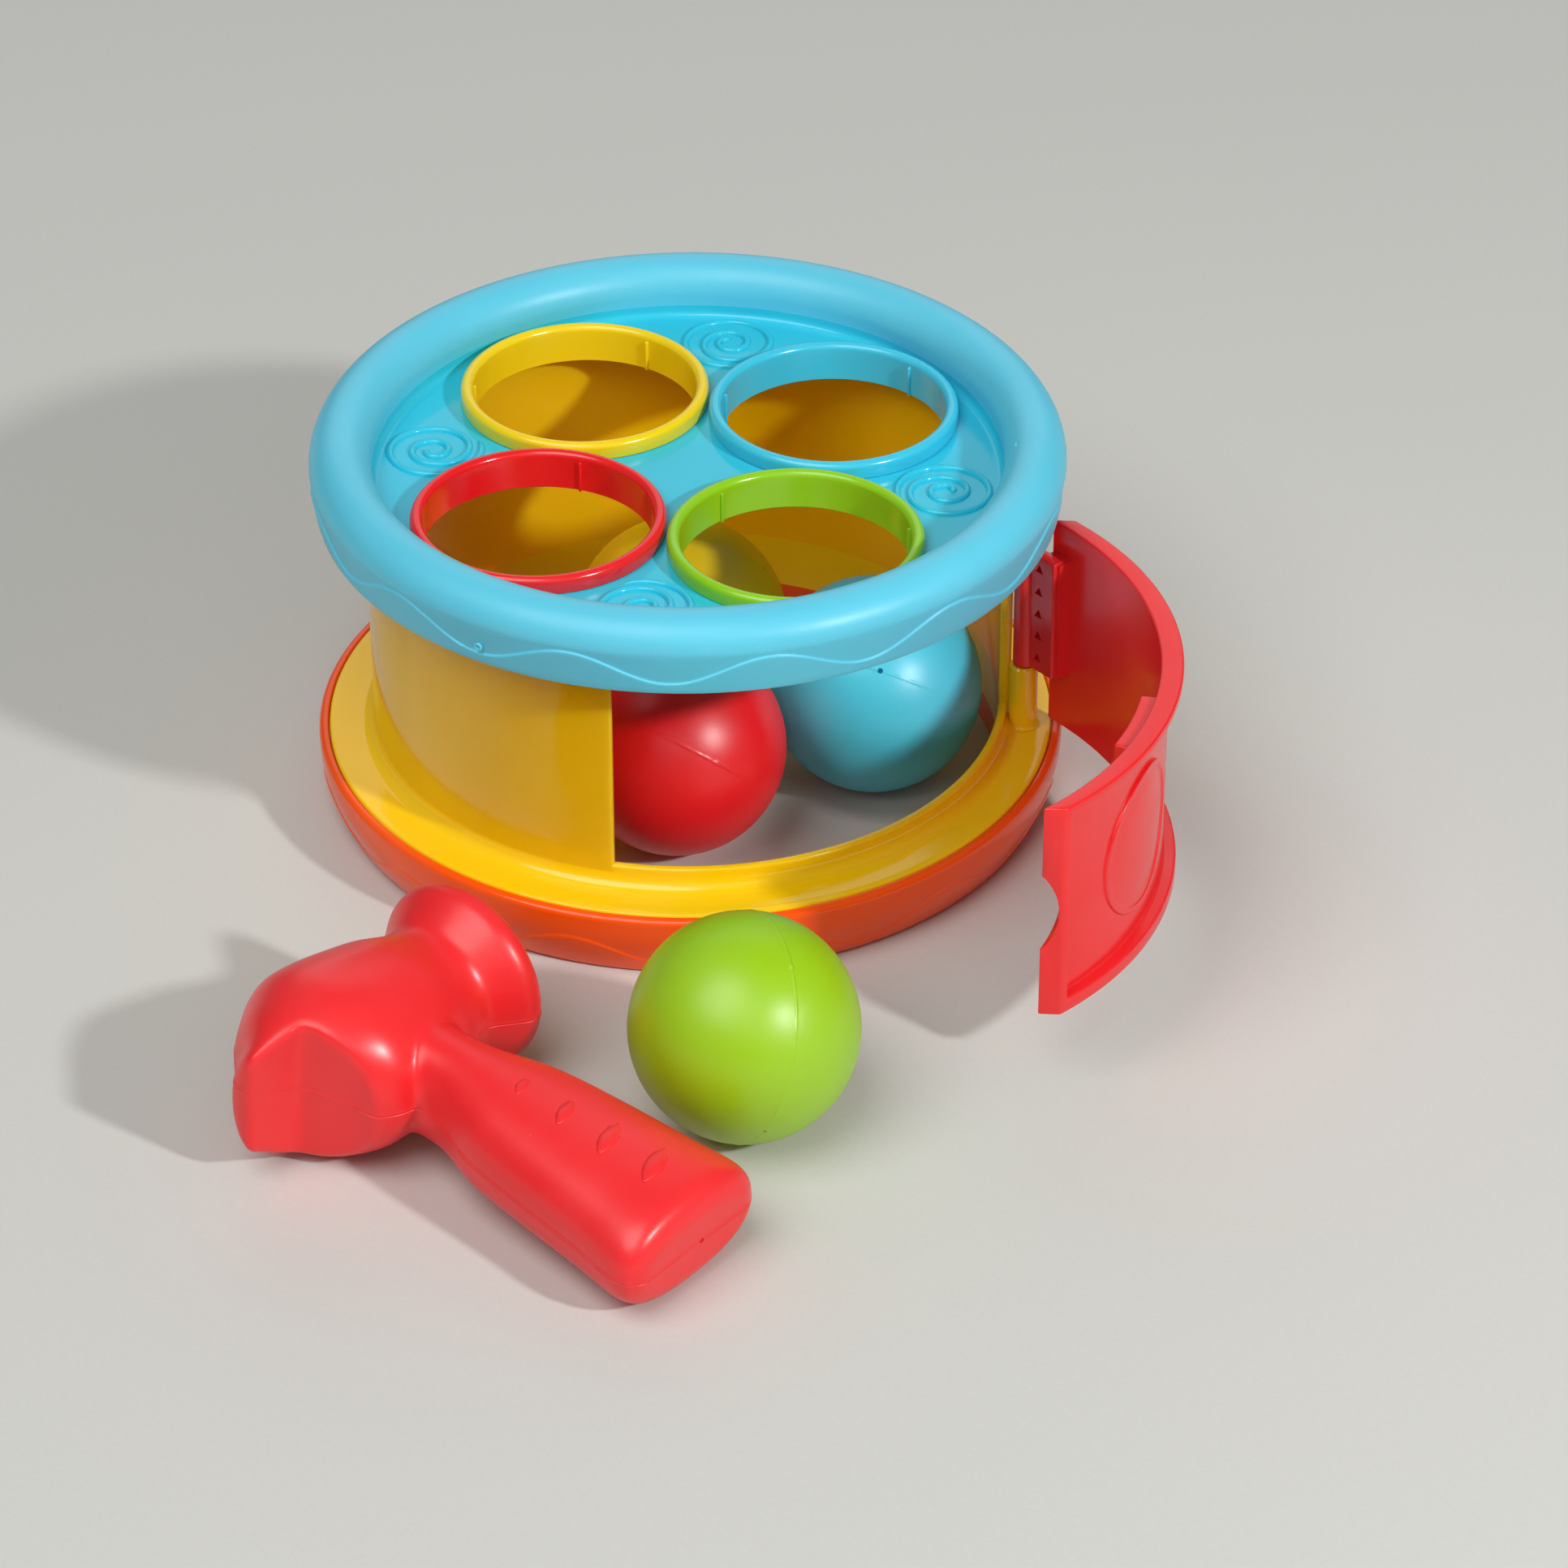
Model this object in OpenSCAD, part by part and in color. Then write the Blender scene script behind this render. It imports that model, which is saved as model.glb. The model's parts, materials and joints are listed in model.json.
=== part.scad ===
// Ball drop pounding toy: a drum with four ball holes, a swing door, four balls and a hammer.
// Millimetres. The origin is on the drum's axis at the ground, +Z is up, the doorway faces -Y.

/* [Balls] */
// Diameter of a ball
ball_d = 46; // [40:0.5:54]
// Gap between the balls that lie in the drum
ball_gap = 1.3; // [0.6:0.1:2]

/* [Collars] */
// Gap between a ball and the collar's bore, on the radius
bore_gap = 0.4; // [0.2:0.05:1]
// Wall of the collar's sleeve
sleeve_t = 1.5; // [1:0.1:2.5]
// How far the lip stands out past the sleeve
lip_over = 1.1; // [0.8:0.1:3]
// Height of the lip above the deck
lip_h = 3.8; // [3:0.1:6]
// Reach of the sleeve below the deck's underside
sleeve_drop = 2.9; // [2.2:0.1:4]
// Gap between neighbouring lips
lip_gap = 0.7; // [0.4:0.1:4]
// Number of grip ribs in a bore
rib_count = 3; // [2:1:6]
// Height of a grip rib off the bore
rib_h = 0.6; // [0.3:0.05:1]
// Width of a grip rib
rib_w = 0.7; // [0.6:0.1:2]

/* [Top tray] */
// Height of the deck's top face above the ground
deck_z = 73.2; // [66:0.2:100]
// Wall of the tray moulding
tray_t = 1.8; // [1.2:0.1:2.6]
// Deck left between the collars and the rim
deck_margin = 1.6; // [1:0.1:8]
// Radius of the rolled rim's section
rim_r = 6.4; // [5.6:0.1:9]
// Height of the rim's crest above the deck
rim_rise = 11; // [9.6:0.1:16]
// Reach of the skirt below the deck's top face
skirt_drop = 4.8; // [3.4:0.1:7]
// Lean of the skirt, inwards at its lower edge
skirt_lean = 1.6; // [0:0.1:2.4]
// Waves in the bead round the skirt
wave_count = 12; // [6:1:18]
// Height of a wave from trough to crest
wave_h = 6; // [2:0.1:6.4]
// How far the waved band stands proud of the skirt
wave_proud = 0.5; // [0.3:0.05:1]
// Reach of the spigot that centres the tray in the wall
spigot_h = 4; // [3.4:0.1:7]
// Turns of a spiral on the deck
spiral_turns = 2.6; // [1:0.1:2.6]
// Half of the width of a spiral's rib
spiral_half = 0.75; // [0.4:0.05:0.8]
// Height of a spiral's rib above the deck
spiral_h = 0.6; // [0.3:0.05:1]

/* [Drum] */
// Wall of the drum
wall_t = 1.8; // [1.2:0.1:2.6]
// Width of the foot flange outside the wall
flange_w = 9.4; // [8.6:0.1:14]
// Height of the flange's top face above the ground
flange_z = 15.2; // [13:0.1:20]
// Thickness of the flange
flange_t = 2; // [1.4:0.1:2.6]
// Radius of the cove at the foot of the wall
cove_r = 3; // [1:0.1:3.2]
// Half of the doorway's angle
doorway_half = 49; // [40:0.5:54]
// Height of the sill above the flange
sill_h = 4.6; // [4:0.1:8]
// Width of the bead beside the doorway
jamb_w = 2; // [1:0.1:3]
// How far that bead stands proud of the wall
jamb_proud = 0.7; // [0.3:0.1:1]

/* [Base ring] */
// Width of the bumper's lip outside the flange
bumper_w = 2; // [1.4:0.1:4]
// Lean of the bumper, inwards at the ground
bumper_lean = 3.9; // [1:0.1:5]
// Wall of the base moulding
base_t = 2; // [1.4:0.1:2.2]
// Screws that hold the base to the flange
screw_count = 4; // [3:1:6]
// Radius of a screw's shank
screw_r = 1.3; // [1:0.05:1.6]
// Length of a screw's shank
screw_len = 8; // [7:0.2:8.4]

/* [Door] */
// Depth of the door's border, along the mould's draw
door_t = 4.6; // [3.6:0.1:6]
// Depth of the door's panel
panel_t = 1.8; // [1.2:0.1:2.6]
// Height of the border along the top and bottom
border_h = 2.4; // [1.5:0.1:5]
// Width of the border down the ends
border_w = 1.5; // [1.4:0.1:4]
// How far the door's inner face lies inside the flange's edge
door_inset = 2.6; // [1.6:0.1:3.4]
// Doorway angle that the door leaves bare at each end
door_bare = 3; // [2:0.5:6]
// Gap under the door
door_gap = 1.5; // [0.8:0.1:3]
// Gap between the door and the skirt
door_head = 3; // [1.4:0.1:4]
// Height of the finger scoop in the free end
scoop_h = 18; // [14:0.5:26]
// Material left outside the finger scoop
scoop_left = 0.8; // [0.8:0.1:1.8]
// Length of the latch tab inside the door
tab_l = 19.5; // [8:0.5:22]
// How far the latch tab stands off the door's inner face
tab_d = 3.2; // [1.4:0.1:3.4]
// Width of the oval on the door's panel
oval_w = 27; // [20:0.5:30]
// Height of the oval on the door's panel
oval_h = 37; // [31:0.5:40]
// How far the oval stands proud of the panel
oval_proud = 0.6; // [0.3:0.1:1]
// Angle at which the door stands open
door_open = 50.5; // [40:0.5:60]

/* [Hinge] */
// Radius of a hinge pin
pin_r = 1.6; // [1.2:0.1:1.8]
// Gap round a hinge pin
pin_gap = 0.2; // [0.1:0.05:0.4]
// Wall round a pin's bore
boss_t = 1.2; // [1:0.1:1.6]
// Reach of a pin into its bore
pin_l = 4.2; // [3:0.1:5]
// Gap above and below the hinge tongue
hinge_play = 0.4; // [0.2:0.05:0.8]
// Height of the hinge's foot above the flange
hinge_foot = 17; // [8:0.5:18]
// Pockets down the hinge tongue
pocket_count = 5; // [3:1:6]
// Distance between the pockets
pocket_step = 5.6; // [4.6:0.1:6]

/* [Hammer] */
// Radius of the striking face
face_r = 19.3; // [18.6:0.1:24]
// Reach of the head from the handle's axis to the face
face_x = 30; // [27:0.5:36]
// Radius of the neck behind the face
neck_r = 14.6; // [12:0.2:16]
// Half width of the head at its thickest
head_w = 20.6; // [18:0.2:24]
// Half height of the head at its thickest
head_h = 18.6; // [16:0.2:18.6]
// Reach of the claw from the handle's axis
claw_x = 31.6; // [29:0.2:40]
// Half height of the claw's tip
claw_h = 13; // [9:0.2:15]
// Half thickness of the claw's tip
claw_w = 7; // [4:0.1:8]
// Length of the handle from the head's axis
grip_l = 84; // [76:0.5:110]
// Half width of the handle where it leaves the head
grip_root = 8.4; // [8:0.2:13]
// Half width of the handle at its butt
grip_butt = 18.8; // [15:0.2:21]
// Half height of the handle
grip_h = 11.4; // [9:0.2:12]

/* [Layout] */
// Middle of the three balls in the drum, from the axis towards +X
heap_x = 7.4; // [4:0.2:9]
// Middle of the three balls in the drum, from the axis towards the door
heap_y = 8.8; // [6:0.2:10]
// Turn of the three balls
heap_turn = 83.5; // [80:0.5:88]
// Gap between the loose ball and the path of the door's free end
loose_gap = 2.6; // [1:0.1:10]
// Heading of the loose ball from the hinge
loose_turn = 207.7; // [206:0.1:212]
// Distance from the base to the hammer's axis
hammer_gap = 58; // [56:0.5:90]
// Place of the hammer round the drum
hammer_place = 207.3; // [200:0.1:215]
// Heading of the hammer's face
hammer_turn = 14.2; // [8:0.2:18]

/* [Hidden] */
$fn = 96;
eps = 0.01;
seam_gap = 0.2;
fit_gap = 0.1;

ball_r = ball_d / 2;

// Collars stand on a square, with their lips almost touching
bore_r = ball_r + bore_gap;
sleeve_r = bore_r + sleeve_t;
hole_r = sleeve_r + fit_gap;
lip_r = sleeve_r + lip_over;
collar_c = (lip_r + lip_gap / 2) * sqrt(2);
collar_angles = [-90, 0, 90, 180];
rib_turns = [94, 10, 21, 34];
snap_over = 0.35;

// The rim's inner wall stands on the drum wall
deck_r = collar_c + lip_r + deck_margin;
rim_c = deck_r + rim_r;
rim_out = rim_c + rim_r;
rim_z = deck_z + rim_rise - rim_r;
deck_soft = min(0.8 * deck_margin, 2);
skirt_z = deck_z - skirt_drop;
skirt_r = rim_out - skirt_lean;
wall_top = deck_z - tray_t;
wave_edge = 0.4;
wave_mid = (skirt_z + rim_z) / 2 + 2 * wave_edge;
wave_steps = 8;
wave_first = -53.3;

wall_in = deck_r;
wall_out = wall_in + wall_t;
spigot_r = wall_in - fit_gap;
spigot_t = 1.2;
lug_count = 4;
lug_h = 1.4;
lug_half = 3;
lug_play = 0.3;
lug_head = 1.2;
lug_z = wall_top - lug_head - lug_h;

// A spiral fills the corner between two collars and the rim
spiral_in = 11.5;
spiral_c = deck_r - spiral_in;
spiral_room = norm(at(spiral_c, 45) - at(collar_c, 0)) - lip_r;
spiral_r0 = 1.4;
spiral_off = 0.9;
spiral_r1 = spiral_room - spiral_half - spiral_off;
spiral_run = [[0, 0], [0.29, 0.27], [0.48, 0.43], [0.58, 0.66], [0.68, 0.84], [0.8, 0.88], [1, 1]];
spiral_parts = 30;

flange_r = wall_out + flange_w;
sill_z = flange_z + sill_h;
cove_bite = 1.03;
jamb_off = 0.2;
head_band = 3;
head_z = wall_top - head_band;

base_lip_z = flange_z - seam_gap;
base_r = flange_r + seam_gap + bumper_w;
swell_z = 0.8 * base_lip_z;
lip_soft = 0.8;
ledge_z = flange_z - flange_t;
joint_z = ledge_z - 2.6;
screw_head_r = 2 * screw_r;
screw_head_h = 1.8;
screw_end = 0.4;
boss_wall = 1.3;
screw_c = wall_in + base_t + screw_r + boss_wall + 2 * seam_gap;
pillar_wall = 1.2;
seat_z = 3.2;
pillar_z = 7;

// Closed, the door lies on the flange's edge, and every wall of it runs along the draw
door_r = flange_r - door_inset;
door_half = door_r * sin(doorway_half - door_bare);
door_z0 = flange_z + door_gap;
door_z1 = skirt_z - door_head;
door_mid = (door_z0 + door_z1) / 2;
door_end_y = -sqrt(door_r * door_r - door_half * door_half);
scoop_d = door_t - scoop_left;
scoop_r = (scoop_h * scoop_h / 4 + scoop_d * scoop_d) / (2 * scoop_d);
tab_h = 6;
tab_down = 1.2;
tab_turn = 16;
oval_turn = 7;

boss_r = pin_r + pin_gap + boss_t;
boss_off = 0.4;
pin_end = 0.8;
hinge_c = wall_out + boss_r + boss_off;
hinge_a = -90 + doorway_half;
hinge_x = hinge_c * cos(hinge_a);
hinge_y = hinge_c * sin(hinge_a);
tongue_z0 = flange_z + hinge_foot + hinge_play;
tongue_z1 = door_z1;
barrel_r = boss_r - 0.6;
barrel_proud = hinge_play / 2;
tongue_r = barrel_r - 0.3;
tongue_in = 0.9;
tongue_turn = 9;
pocket_r = 1.4;
pocket_d = 2;
pocket_foot = 4;
plate_z1 = min(tongue_z1, tongue_z0 + 2 * pocket_foot + (pocket_count - 1) * pocket_step);
top_boss_z = tongue_z1 + hinge_play;

// The loose ball lies just outside the path of the door's free end
swing_r = norm([door_half + hinge_x, door_end_y - door_t - hinge_y]);
loose_at = [hinge_x, hinge_y, 0] + at(swing_r + ball_r + loose_gap, loose_turn);

// The hammer lies on its face's rim and the end of its butt
butt_share = 0.95;
hammer_tilt = asin((face_r - grip_h) / (butt_share * grip_l));
loft_sides = 32;
head_steps = 34;
grip_steps = 24;
body_x = 9.5;
face_soft = 2.5;
claw_soft = 2.4;
crease_x = 20.8;
crease_y = 1.4;
claw_tip_y = 1.2;
grip_bend = 0.9;
grip_square = 0.84;

blue = [0.37, 0.79, 0.90];
yellow = [0.95, 0.78, 0.17];
orange = [0.92, 0.36, 0.10];
red = [0.92, 0.22, 0.22];
green = [0.60, 0.78, 0.10];
steel = [0.72, 0.73, 0.75];

// Part of a ring with a rectangular section, between two angles
module ring_part(r0, r1, z0, z1, a0, a1) {
    rotate([0, 0, a0]) rotate_extrude(angle = a1 - a0)
        translate([r0, z0]) square([r1 - r0, z1 - z0]);
}

function at(c, a) = [c * cos(a), c * sin(a), 0];

// Slope at a station that keeps a curve through [place, value] stations free of overshoot
function secant(s, i) = (s[i + 1][1] - s[i][1]) / (s[i + 1][0] - s[i][0]);
function slope(s, i) =
    i == 0 ? secant(s, 0)
    : i == len(s) - 1 ? secant(s, i - 1)
    : let (a = secant(s, i - 1), b = secant(s, i)) a * b <= 0 ? 0 : 2 * a * b / (a + b);

// Value at a place along the stations
function along(s, x, i = 0) =
    i < len(s) - 2 && x > s[i + 1][0] ? along(s, x, i + 1)
    : let (w = s[i + 1][0] - s[i][0], t = (x - s[i][0]) / w)
        (1 + 2 * t) * (1 - t) * (1 - t) * s[i][1] + t * (1 - t) * (1 - t) * w * slope(s, i)
        + t * t * (3 - 2 * t) * s[i + 1][1] - t * t * (1 - t) * w * slope(s, i + 1);

// Closed skin over rings of equal point counts
module skin(rings) {
    n = len(rings[0]);
    m = len(rings);
    sides = [for (i = [0 : m - 2], j = [0 : n - 1], k = [0, 1])
        let (a = i * n + j, b = i * n + (j + 1) % n)
        k == 0 ? [a, b + n, b] : [a, a + n, b + n]];
    ends = [[for (j = [0 : n - 1]) j], [for (j = [n - 1 : -1 : 0]) (m - 1) * n + j]];
    polyhedron([for (r = rings) each r], concat(sides, ends), convexity = 6);
}

// Raised band with a waved upper edge, round a surface whose radius at each height is known
module wave_band(radius_at, z0, z_mid, inside) {
    n = wave_count * wave_steps;
    function top(i) = z_mid + wave_h / 2 * cos(wave_count * (360 * i / n - wave_first));
    function spot(i, r, z) = [r * cos(360 * i / n), r * sin(360 * i / n), z];
    points = [for (i = [0 : n - 1]) each [
        spot(i, radius_at(z0) - inside, z0), spot(i, radius_at(z0) + wave_proud, z0),
        spot(i, radius_at(top(i)) + wave_proud, top(i)), spot(i, radius_at(top(i)) - inside, top(i))]];
    faces = [for (i = [0 : n - 1], j = [0 : 3], k = [0, 1])
        let (here = 4 * i, next = 4 * ((i + 1) % n), b = (j + 1) % 4)
        k == 0 ? [here + j, here + b, next + b] : [here + j, next + b, next + j]];
    polyhedron(points, faces, convexity = 6);
}

function skirt_at(z) = rim_out - skirt_lean * (rim_z - z) / (rim_z - skirt_z);
function bumper_at(z) = base_r - bumper_lean * (1 - sin(90 * min(1, z / swell_z)));

module tray_profile() {
    intersection() {
        translate([rim_c, rim_z]) difference() {
            circle(r = rim_r);
            circle(r = rim_r - tray_t);
        }
        translate([deck_r - 1, rim_z]) square([2 * rim_r + 2, rim_r + 1]);
    }
    translate([deck_r, wall_top]) square([tray_t, rim_z - wall_top]);
    polygon([[rim_out - tray_t, rim_z], [rim_out, rim_z], [skirt_r, skirt_z], [skirt_r - tray_t, skirt_z]]);
    translate([0, wall_top]) square([deck_r + tray_t, tray_t]);
    difference() {
        translate([deck_r - deck_soft, deck_z - eps]) square(deck_soft + eps);
        translate([deck_r - deck_soft, deck_z + deck_soft]) circle(r = cove_bite * deck_soft);
    }
    translate([spigot_r - spigot_t, wall_top - spigot_h]) square([spigot_t, spigot_h]);
}

// Rib that winds outwards from the middle of a deck corner
module deck_spiral() {
    n = round(spiral_turns * spiral_parts);
    function spot(i, side) = let (a = 360 * spiral_turns * i / n,
            r = spiral_r0 + (spiral_r1 - spiral_r0) * along(spiral_run, i / n) + side * spiral_half)
        [r * cos(a), r * sin(a)];
    translate([0, 0, deck_z - tray_t / 2]) linear_extrude(tray_t / 2 + spiral_h) polygon(concat(
        [for (i = [0 : n]) spot(i, 1)], [for (i = [n : -1 : 0]) spot(i, -1)]));
}

module top_tray() {
    color(blue) difference() {
        union() {
            rotate_extrude() tray_profile();
            wave_band(function(z) skirt_at(z), skirt_z + wave_edge, wave_mid, tray_t / 2);
            for (a = [45 : 90 : 315]) translate(at(spiral_c, a)) rotate([0, 0, a]) deck_spiral();
            at_lugs() ring_part(spigot_r - spigot_t / 2, wall_out - fit_gap, lug_z, lug_z + lug_h,
                -lug_half, lug_half);
            translate([hinge_x, hinge_y, top_boss_z])
                cylinder(r = boss_r, h = rim_z + rim_r - 0.75 * tray_t - top_boss_z);
        }
        for (a = collar_angles) translate(at(collar_c, a) + [0, 0, wall_top - spigot_h - 1])
            cylinder(r = hole_r, h = spigot_h + tray_t + 2);
        translate([hinge_x, hinge_y, top_boss_z - 1])
            cylinder(r = pin_r + pin_gap, h = 1 + pin_l + pin_end);
    }
}

module collar_profile() {
    lip_w = lip_r - bore_r;
    lip_top = deck_z + lip_h - lip_w / 2;
    translate([bore_r, deck_z]) square([lip_w, lip_h - lip_w / 2]);
    translate([bore_r + lip_w / 2, lip_top]) circle(r = lip_w / 2);
    translate([bore_r, wall_top - sleeve_drop]) square([sleeve_t, sleeve_drop + tray_t + eps]);
    polygon([[sleeve_r - eps, wall_top - fit_gap], [hole_r + snap_over, wall_top - fit_gap],
        [sleeve_r - eps, wall_top - fit_gap - 1.6]]);
}

// Collar that clips into a deck hole, with grip ribs down its bore
module collar(i, shade) {
    color(shade) translate(at(collar_c, collar_angles[i])) {
        rotate_extrude() collar_profile();
        for (k = [0 : rib_count - 1]) rotate([0, 0, rib_turns[i] + k * 360 / rib_count])
            translate([bore_r - rib_h, -rib_w / 2, wall_top - sleeve_drop])
                cube([rib_h + sleeve_t / 2, rib_w, sleeve_drop + tray_t + lip_h / 2]);
    }
}

module ring_green() { collar(0, green); }
module ring_blue() { collar(1, blue); }
module ring_yellow() { collar(2, yellow); }
module ring_red() { collar(3, red); }

module wall_profile() {
    translate([wall_in, joint_z]) square([wall_t, wall_top - joint_z]);
    translate([wall_in, ledge_z]) square([flange_r - wall_in, flange_t]);
    difference() {
        translate([wall_out - eps, flange_z - eps]) square(cove_r);
        translate([wall_out + cove_r, flange_z + cove_r]) circle(r = cove_bite * cove_r);
    }
}

// Children at every screw
module at_screws(z) {
    for (i = [0 : screw_count - 1])
        translate(at(screw_c, 45 + i * 360 / screw_count) + [0, 0, z]) children();
}

// Children turned to every snap lug
module at_lugs() {
    for (i = [0 : lug_count - 1]) rotate([0, 0, i * 180 / (lug_count - 1)]) children();
}

module drum_wall() {
    jamb_deg = jamb_w / wall_out * 180 / PI;
    color(yellow) difference() {
        union() {
            difference() {
                rotate_extrude() wall_profile();
                ring_part(wall_in - 1, wall_out + 1, sill_z, head_z,
                    -90 - doorway_half, -90 + doorway_half);
            }
            for (a = [-90 - doorway_half - jamb_deg - jamb_off, -90 + doorway_half + jamb_off])
                ring_part(wall_in + wall_t / 2, wall_out + jamb_proud, sill_z - 1, head_z - jamb_off,
                    a, a + jamb_deg);
            translate([hinge_x, hinge_y, flange_z - flange_t / 2])
                cylinder(r = boss_r, h = flange_t / 2 + hinge_foot);
            at_screws(pillar_z) cylinder(r = screw_r + boss_wall, h = ledge_z - pillar_z + flange_t / 2);
        }
        translate([hinge_x, hinge_y, flange_z + hinge_foot - pin_l - pin_end])
            cylinder(r = pin_r + pin_gap, h = pin_l + pin_end + 1);
        at_screws(pillar_z - 1)
            cylinder(r = screw_r + fit_gap / 2, h = 1 + screw_len - (pillar_z - seat_z) + screw_end);
        at_lugs() ring_part(wall_in - 1, wall_out + 1, lug_z - seam_gap, lug_z + lug_h + seam_gap,
            -lug_half - lug_play, lug_half + lug_play);
    }
}

// Bumper section: a leaning outer wall, a floor, an inner skirt and a rebate for the flange
module base_profile() {
    swell = [for (t = [0 : 0.125 : 1]) [bumper_at(t * swell_z), t * swell_z]];
    polygon(concat(swell, [
        [base_r, base_lip_z - lip_soft], [base_r - lip_soft, base_lip_z],
        [flange_r + seam_gap, base_lip_z], [flange_r + seam_gap, ledge_z],
        [flange_r - base_t, ledge_z], [base_r - bumper_lean - base_t, base_t],
        [wall_in + base_t, base_t], [wall_in + base_t, joint_z],
        [wall_in, joint_z], [wall_in, 0]
    ]));
}

module base_ring() {
    color(orange) difference() {
        union() {
            rotate_extrude() base_profile();
            wave_band(function(z) bumper_at(z), 2 * wave_edge, swell_z / 2, base_t / 2);
            at_screws(0) cylinder(r = screw_head_r + pillar_wall, h = pillar_z);
        }
        at_screws(-1) {
            cylinder(r = screw_r + seam_gap, h = pillar_z + 2);
            cylinder(r = screw_head_r + seam_gap, h = seat_z + 1);
        }
    }
}

module base_screws() {
    color(steel) at_screws(seat_z - screw_head_h) {
        cylinder(r = screw_head_r, h = screw_head_h);
        cylinder(r = screw_r, h = screw_head_h + screw_len);
    }
}

// Curved slab between two depths along the draw
module door_slab(d0, d1, z0, z1, half) {
    translate([0, 0, z0]) linear_extrude(z1 - z0) intersection() {
        difference() {
            translate([0, -d1]) circle(r = door_r, $fn = 180);
            translate([0, -d0]) circle(r = door_r, $fn = 180);
        }
        translate([-half, -door_r - d1 - 1]) square([2 * half, door_r]);
    }
}

// Oval of four arcs, upright
module oval(w, h) {
    r = 0.4 * w;
    c = h / 2 - r;
    d = (c * c - (w / 2 - r) * (w / 2 - r)) / (2 * (w / 2 - r));
    big = w / 2 + d;
    for (s = [-1, 1]) translate([0, s * c]) circle(r = r);
    intersection() {
        translate([d, 0]) circle(r = big);
        translate([-d, 0]) circle(r = big);
        translate([-w, -big * c / norm([c, d])]) square([2 * w, 2 * big * c / norm([c, d])]);
    }
}

module closed_door() {
    difference() {
        door_slab(0, door_t, door_z0, door_z1, door_half);
        door_slab(panel_t, door_t + 1, door_z0 + border_h, door_z1 - border_h, door_half - border_w);
        translate([-door_half - 1, door_end_y - scoop_d + scoop_r, door_mid]) rotate([0, 90, 0])
            cylinder(r = scoop_r, h = door_t + 5);
    }
    intersection() {
        door_slab(panel_t / 2, panel_t + oval_proud, door_z0, door_z1, door_half);
        rotate([0, 0, -oval_turn]) translate([0, -wall_in / 2, door_mid]) rotate([90, 0, 0])
            linear_extrude(door_r) oval(oval_w, oval_h);
    }
    // Latch tab inside the top border
    ring_part(door_r - tab_d, door_r + panel_t / 2, door_z1 - tab_down - tab_h, door_z1 - tab_down,
        -90 - tab_turn - tab_l / door_r * 90 / PI, -90 - tab_turn + tab_l / door_r * 90 / PI);
    // Hinge tongue with a row of small pockets, its web to the door and its pins
    root_a = hinge_a - tongue_turn;
    difference() {
        ring_part(hinge_c - tongue_in, hinge_c + tongue_r, tongue_z0, plate_z1, root_a, hinge_a);
        for (i = [0 : pocket_count - 1]) rotate([0, 0, (root_a + hinge_a) / 2])
            translate([hinge_c - tongue_in - 1, 0, tongue_z0 + pocket_foot + i * pocket_step])
                rotate([0, 90, 0]) rotate([0, 0, 90]) cylinder(r = pocket_r, h = 1 + pocket_d, $fn = 3);
    }
    ring_part(hinge_c, door_r + panel_t / 2, tongue_z0, plate_z1, root_a, (root_a + hinge_a) / 2);
    translate([hinge_x, hinge_y, tongue_z0 - barrel_proud])
        cylinder(r = barrel_r, h = tongue_z1 - tongue_z0 + 2 * barrel_proud);
    translate([hinge_x, hinge_y, tongue_z0 - pin_l])
        cylinder(r = pin_r, h = tongue_z1 - tongue_z0 + 2 * pin_l);
}

module door() {
    color(red) translate([hinge_x, hinge_y, 0]) rotate([0, 0, door_open]) translate([-hinge_x, -hinge_y, 0])
        closed_door();
}

module ball_at(p, shade) {
    color(shade) translate(p + [0, 0, ball_r]) sphere(d = ball_d);
}

function heap(k) = [heap_x, -heap_y, 0] + at((ball_d + ball_gap) / sqrt(3), heap_turn + 120 * k);

module ball_yellow() { ball_at(heap(0), yellow); }
module ball_red() { ball_at(heap(1), red); }
module ball_blue() { ball_at(heap(2), blue); }
module ball_green() { ball_at(loose_at, green); }

// Head along X from the claw to the face, the handle along -Y
module hammer_head() {
    claw_end = claw_x - claw_soft;
    claw_mid = (claw_x + body_x) / 2;
    neck_x = 0.6 * face_x;
    flare_x = (neck_x + face_x) / 2 - face_soft / 2;
    flare_r = 0.84 * face_r;
    half_w = [[-claw_x, 0.7 * claw_w], [-claw_end, claw_w], [-claw_mid, 0.73 * head_w], [-body_x, head_w],
        [neck_x, neck_r], [flare_x, flare_r], [face_x - face_soft, face_r], [face_x, 0.88 * face_r]];
    half_h = [[-claw_x, 0.85 * claw_h], [-claw_end, claw_h], [-claw_mid, 0.88 * head_h], [-body_x, head_h],
        [neck_x, neck_r], [flare_x, flare_r], [face_x - face_soft, face_r], [face_x, 0.88 * face_r]];
    mid_y = [[-claw_x, claw_tip_y], [neck_x, 0], [face_x, 0]];
    skin([for (i = [0 : head_steps]) let (x = -claw_x + (claw_x + face_x) * i / head_steps)
        [for (j = [0 : loft_sides - 1]) let (a = 360 * j / loft_sides)
            [x, along(mid_y, x) + along(half_w, x) * cos(a), along(half_h, x) * sin(a)]]]);
}

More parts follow.
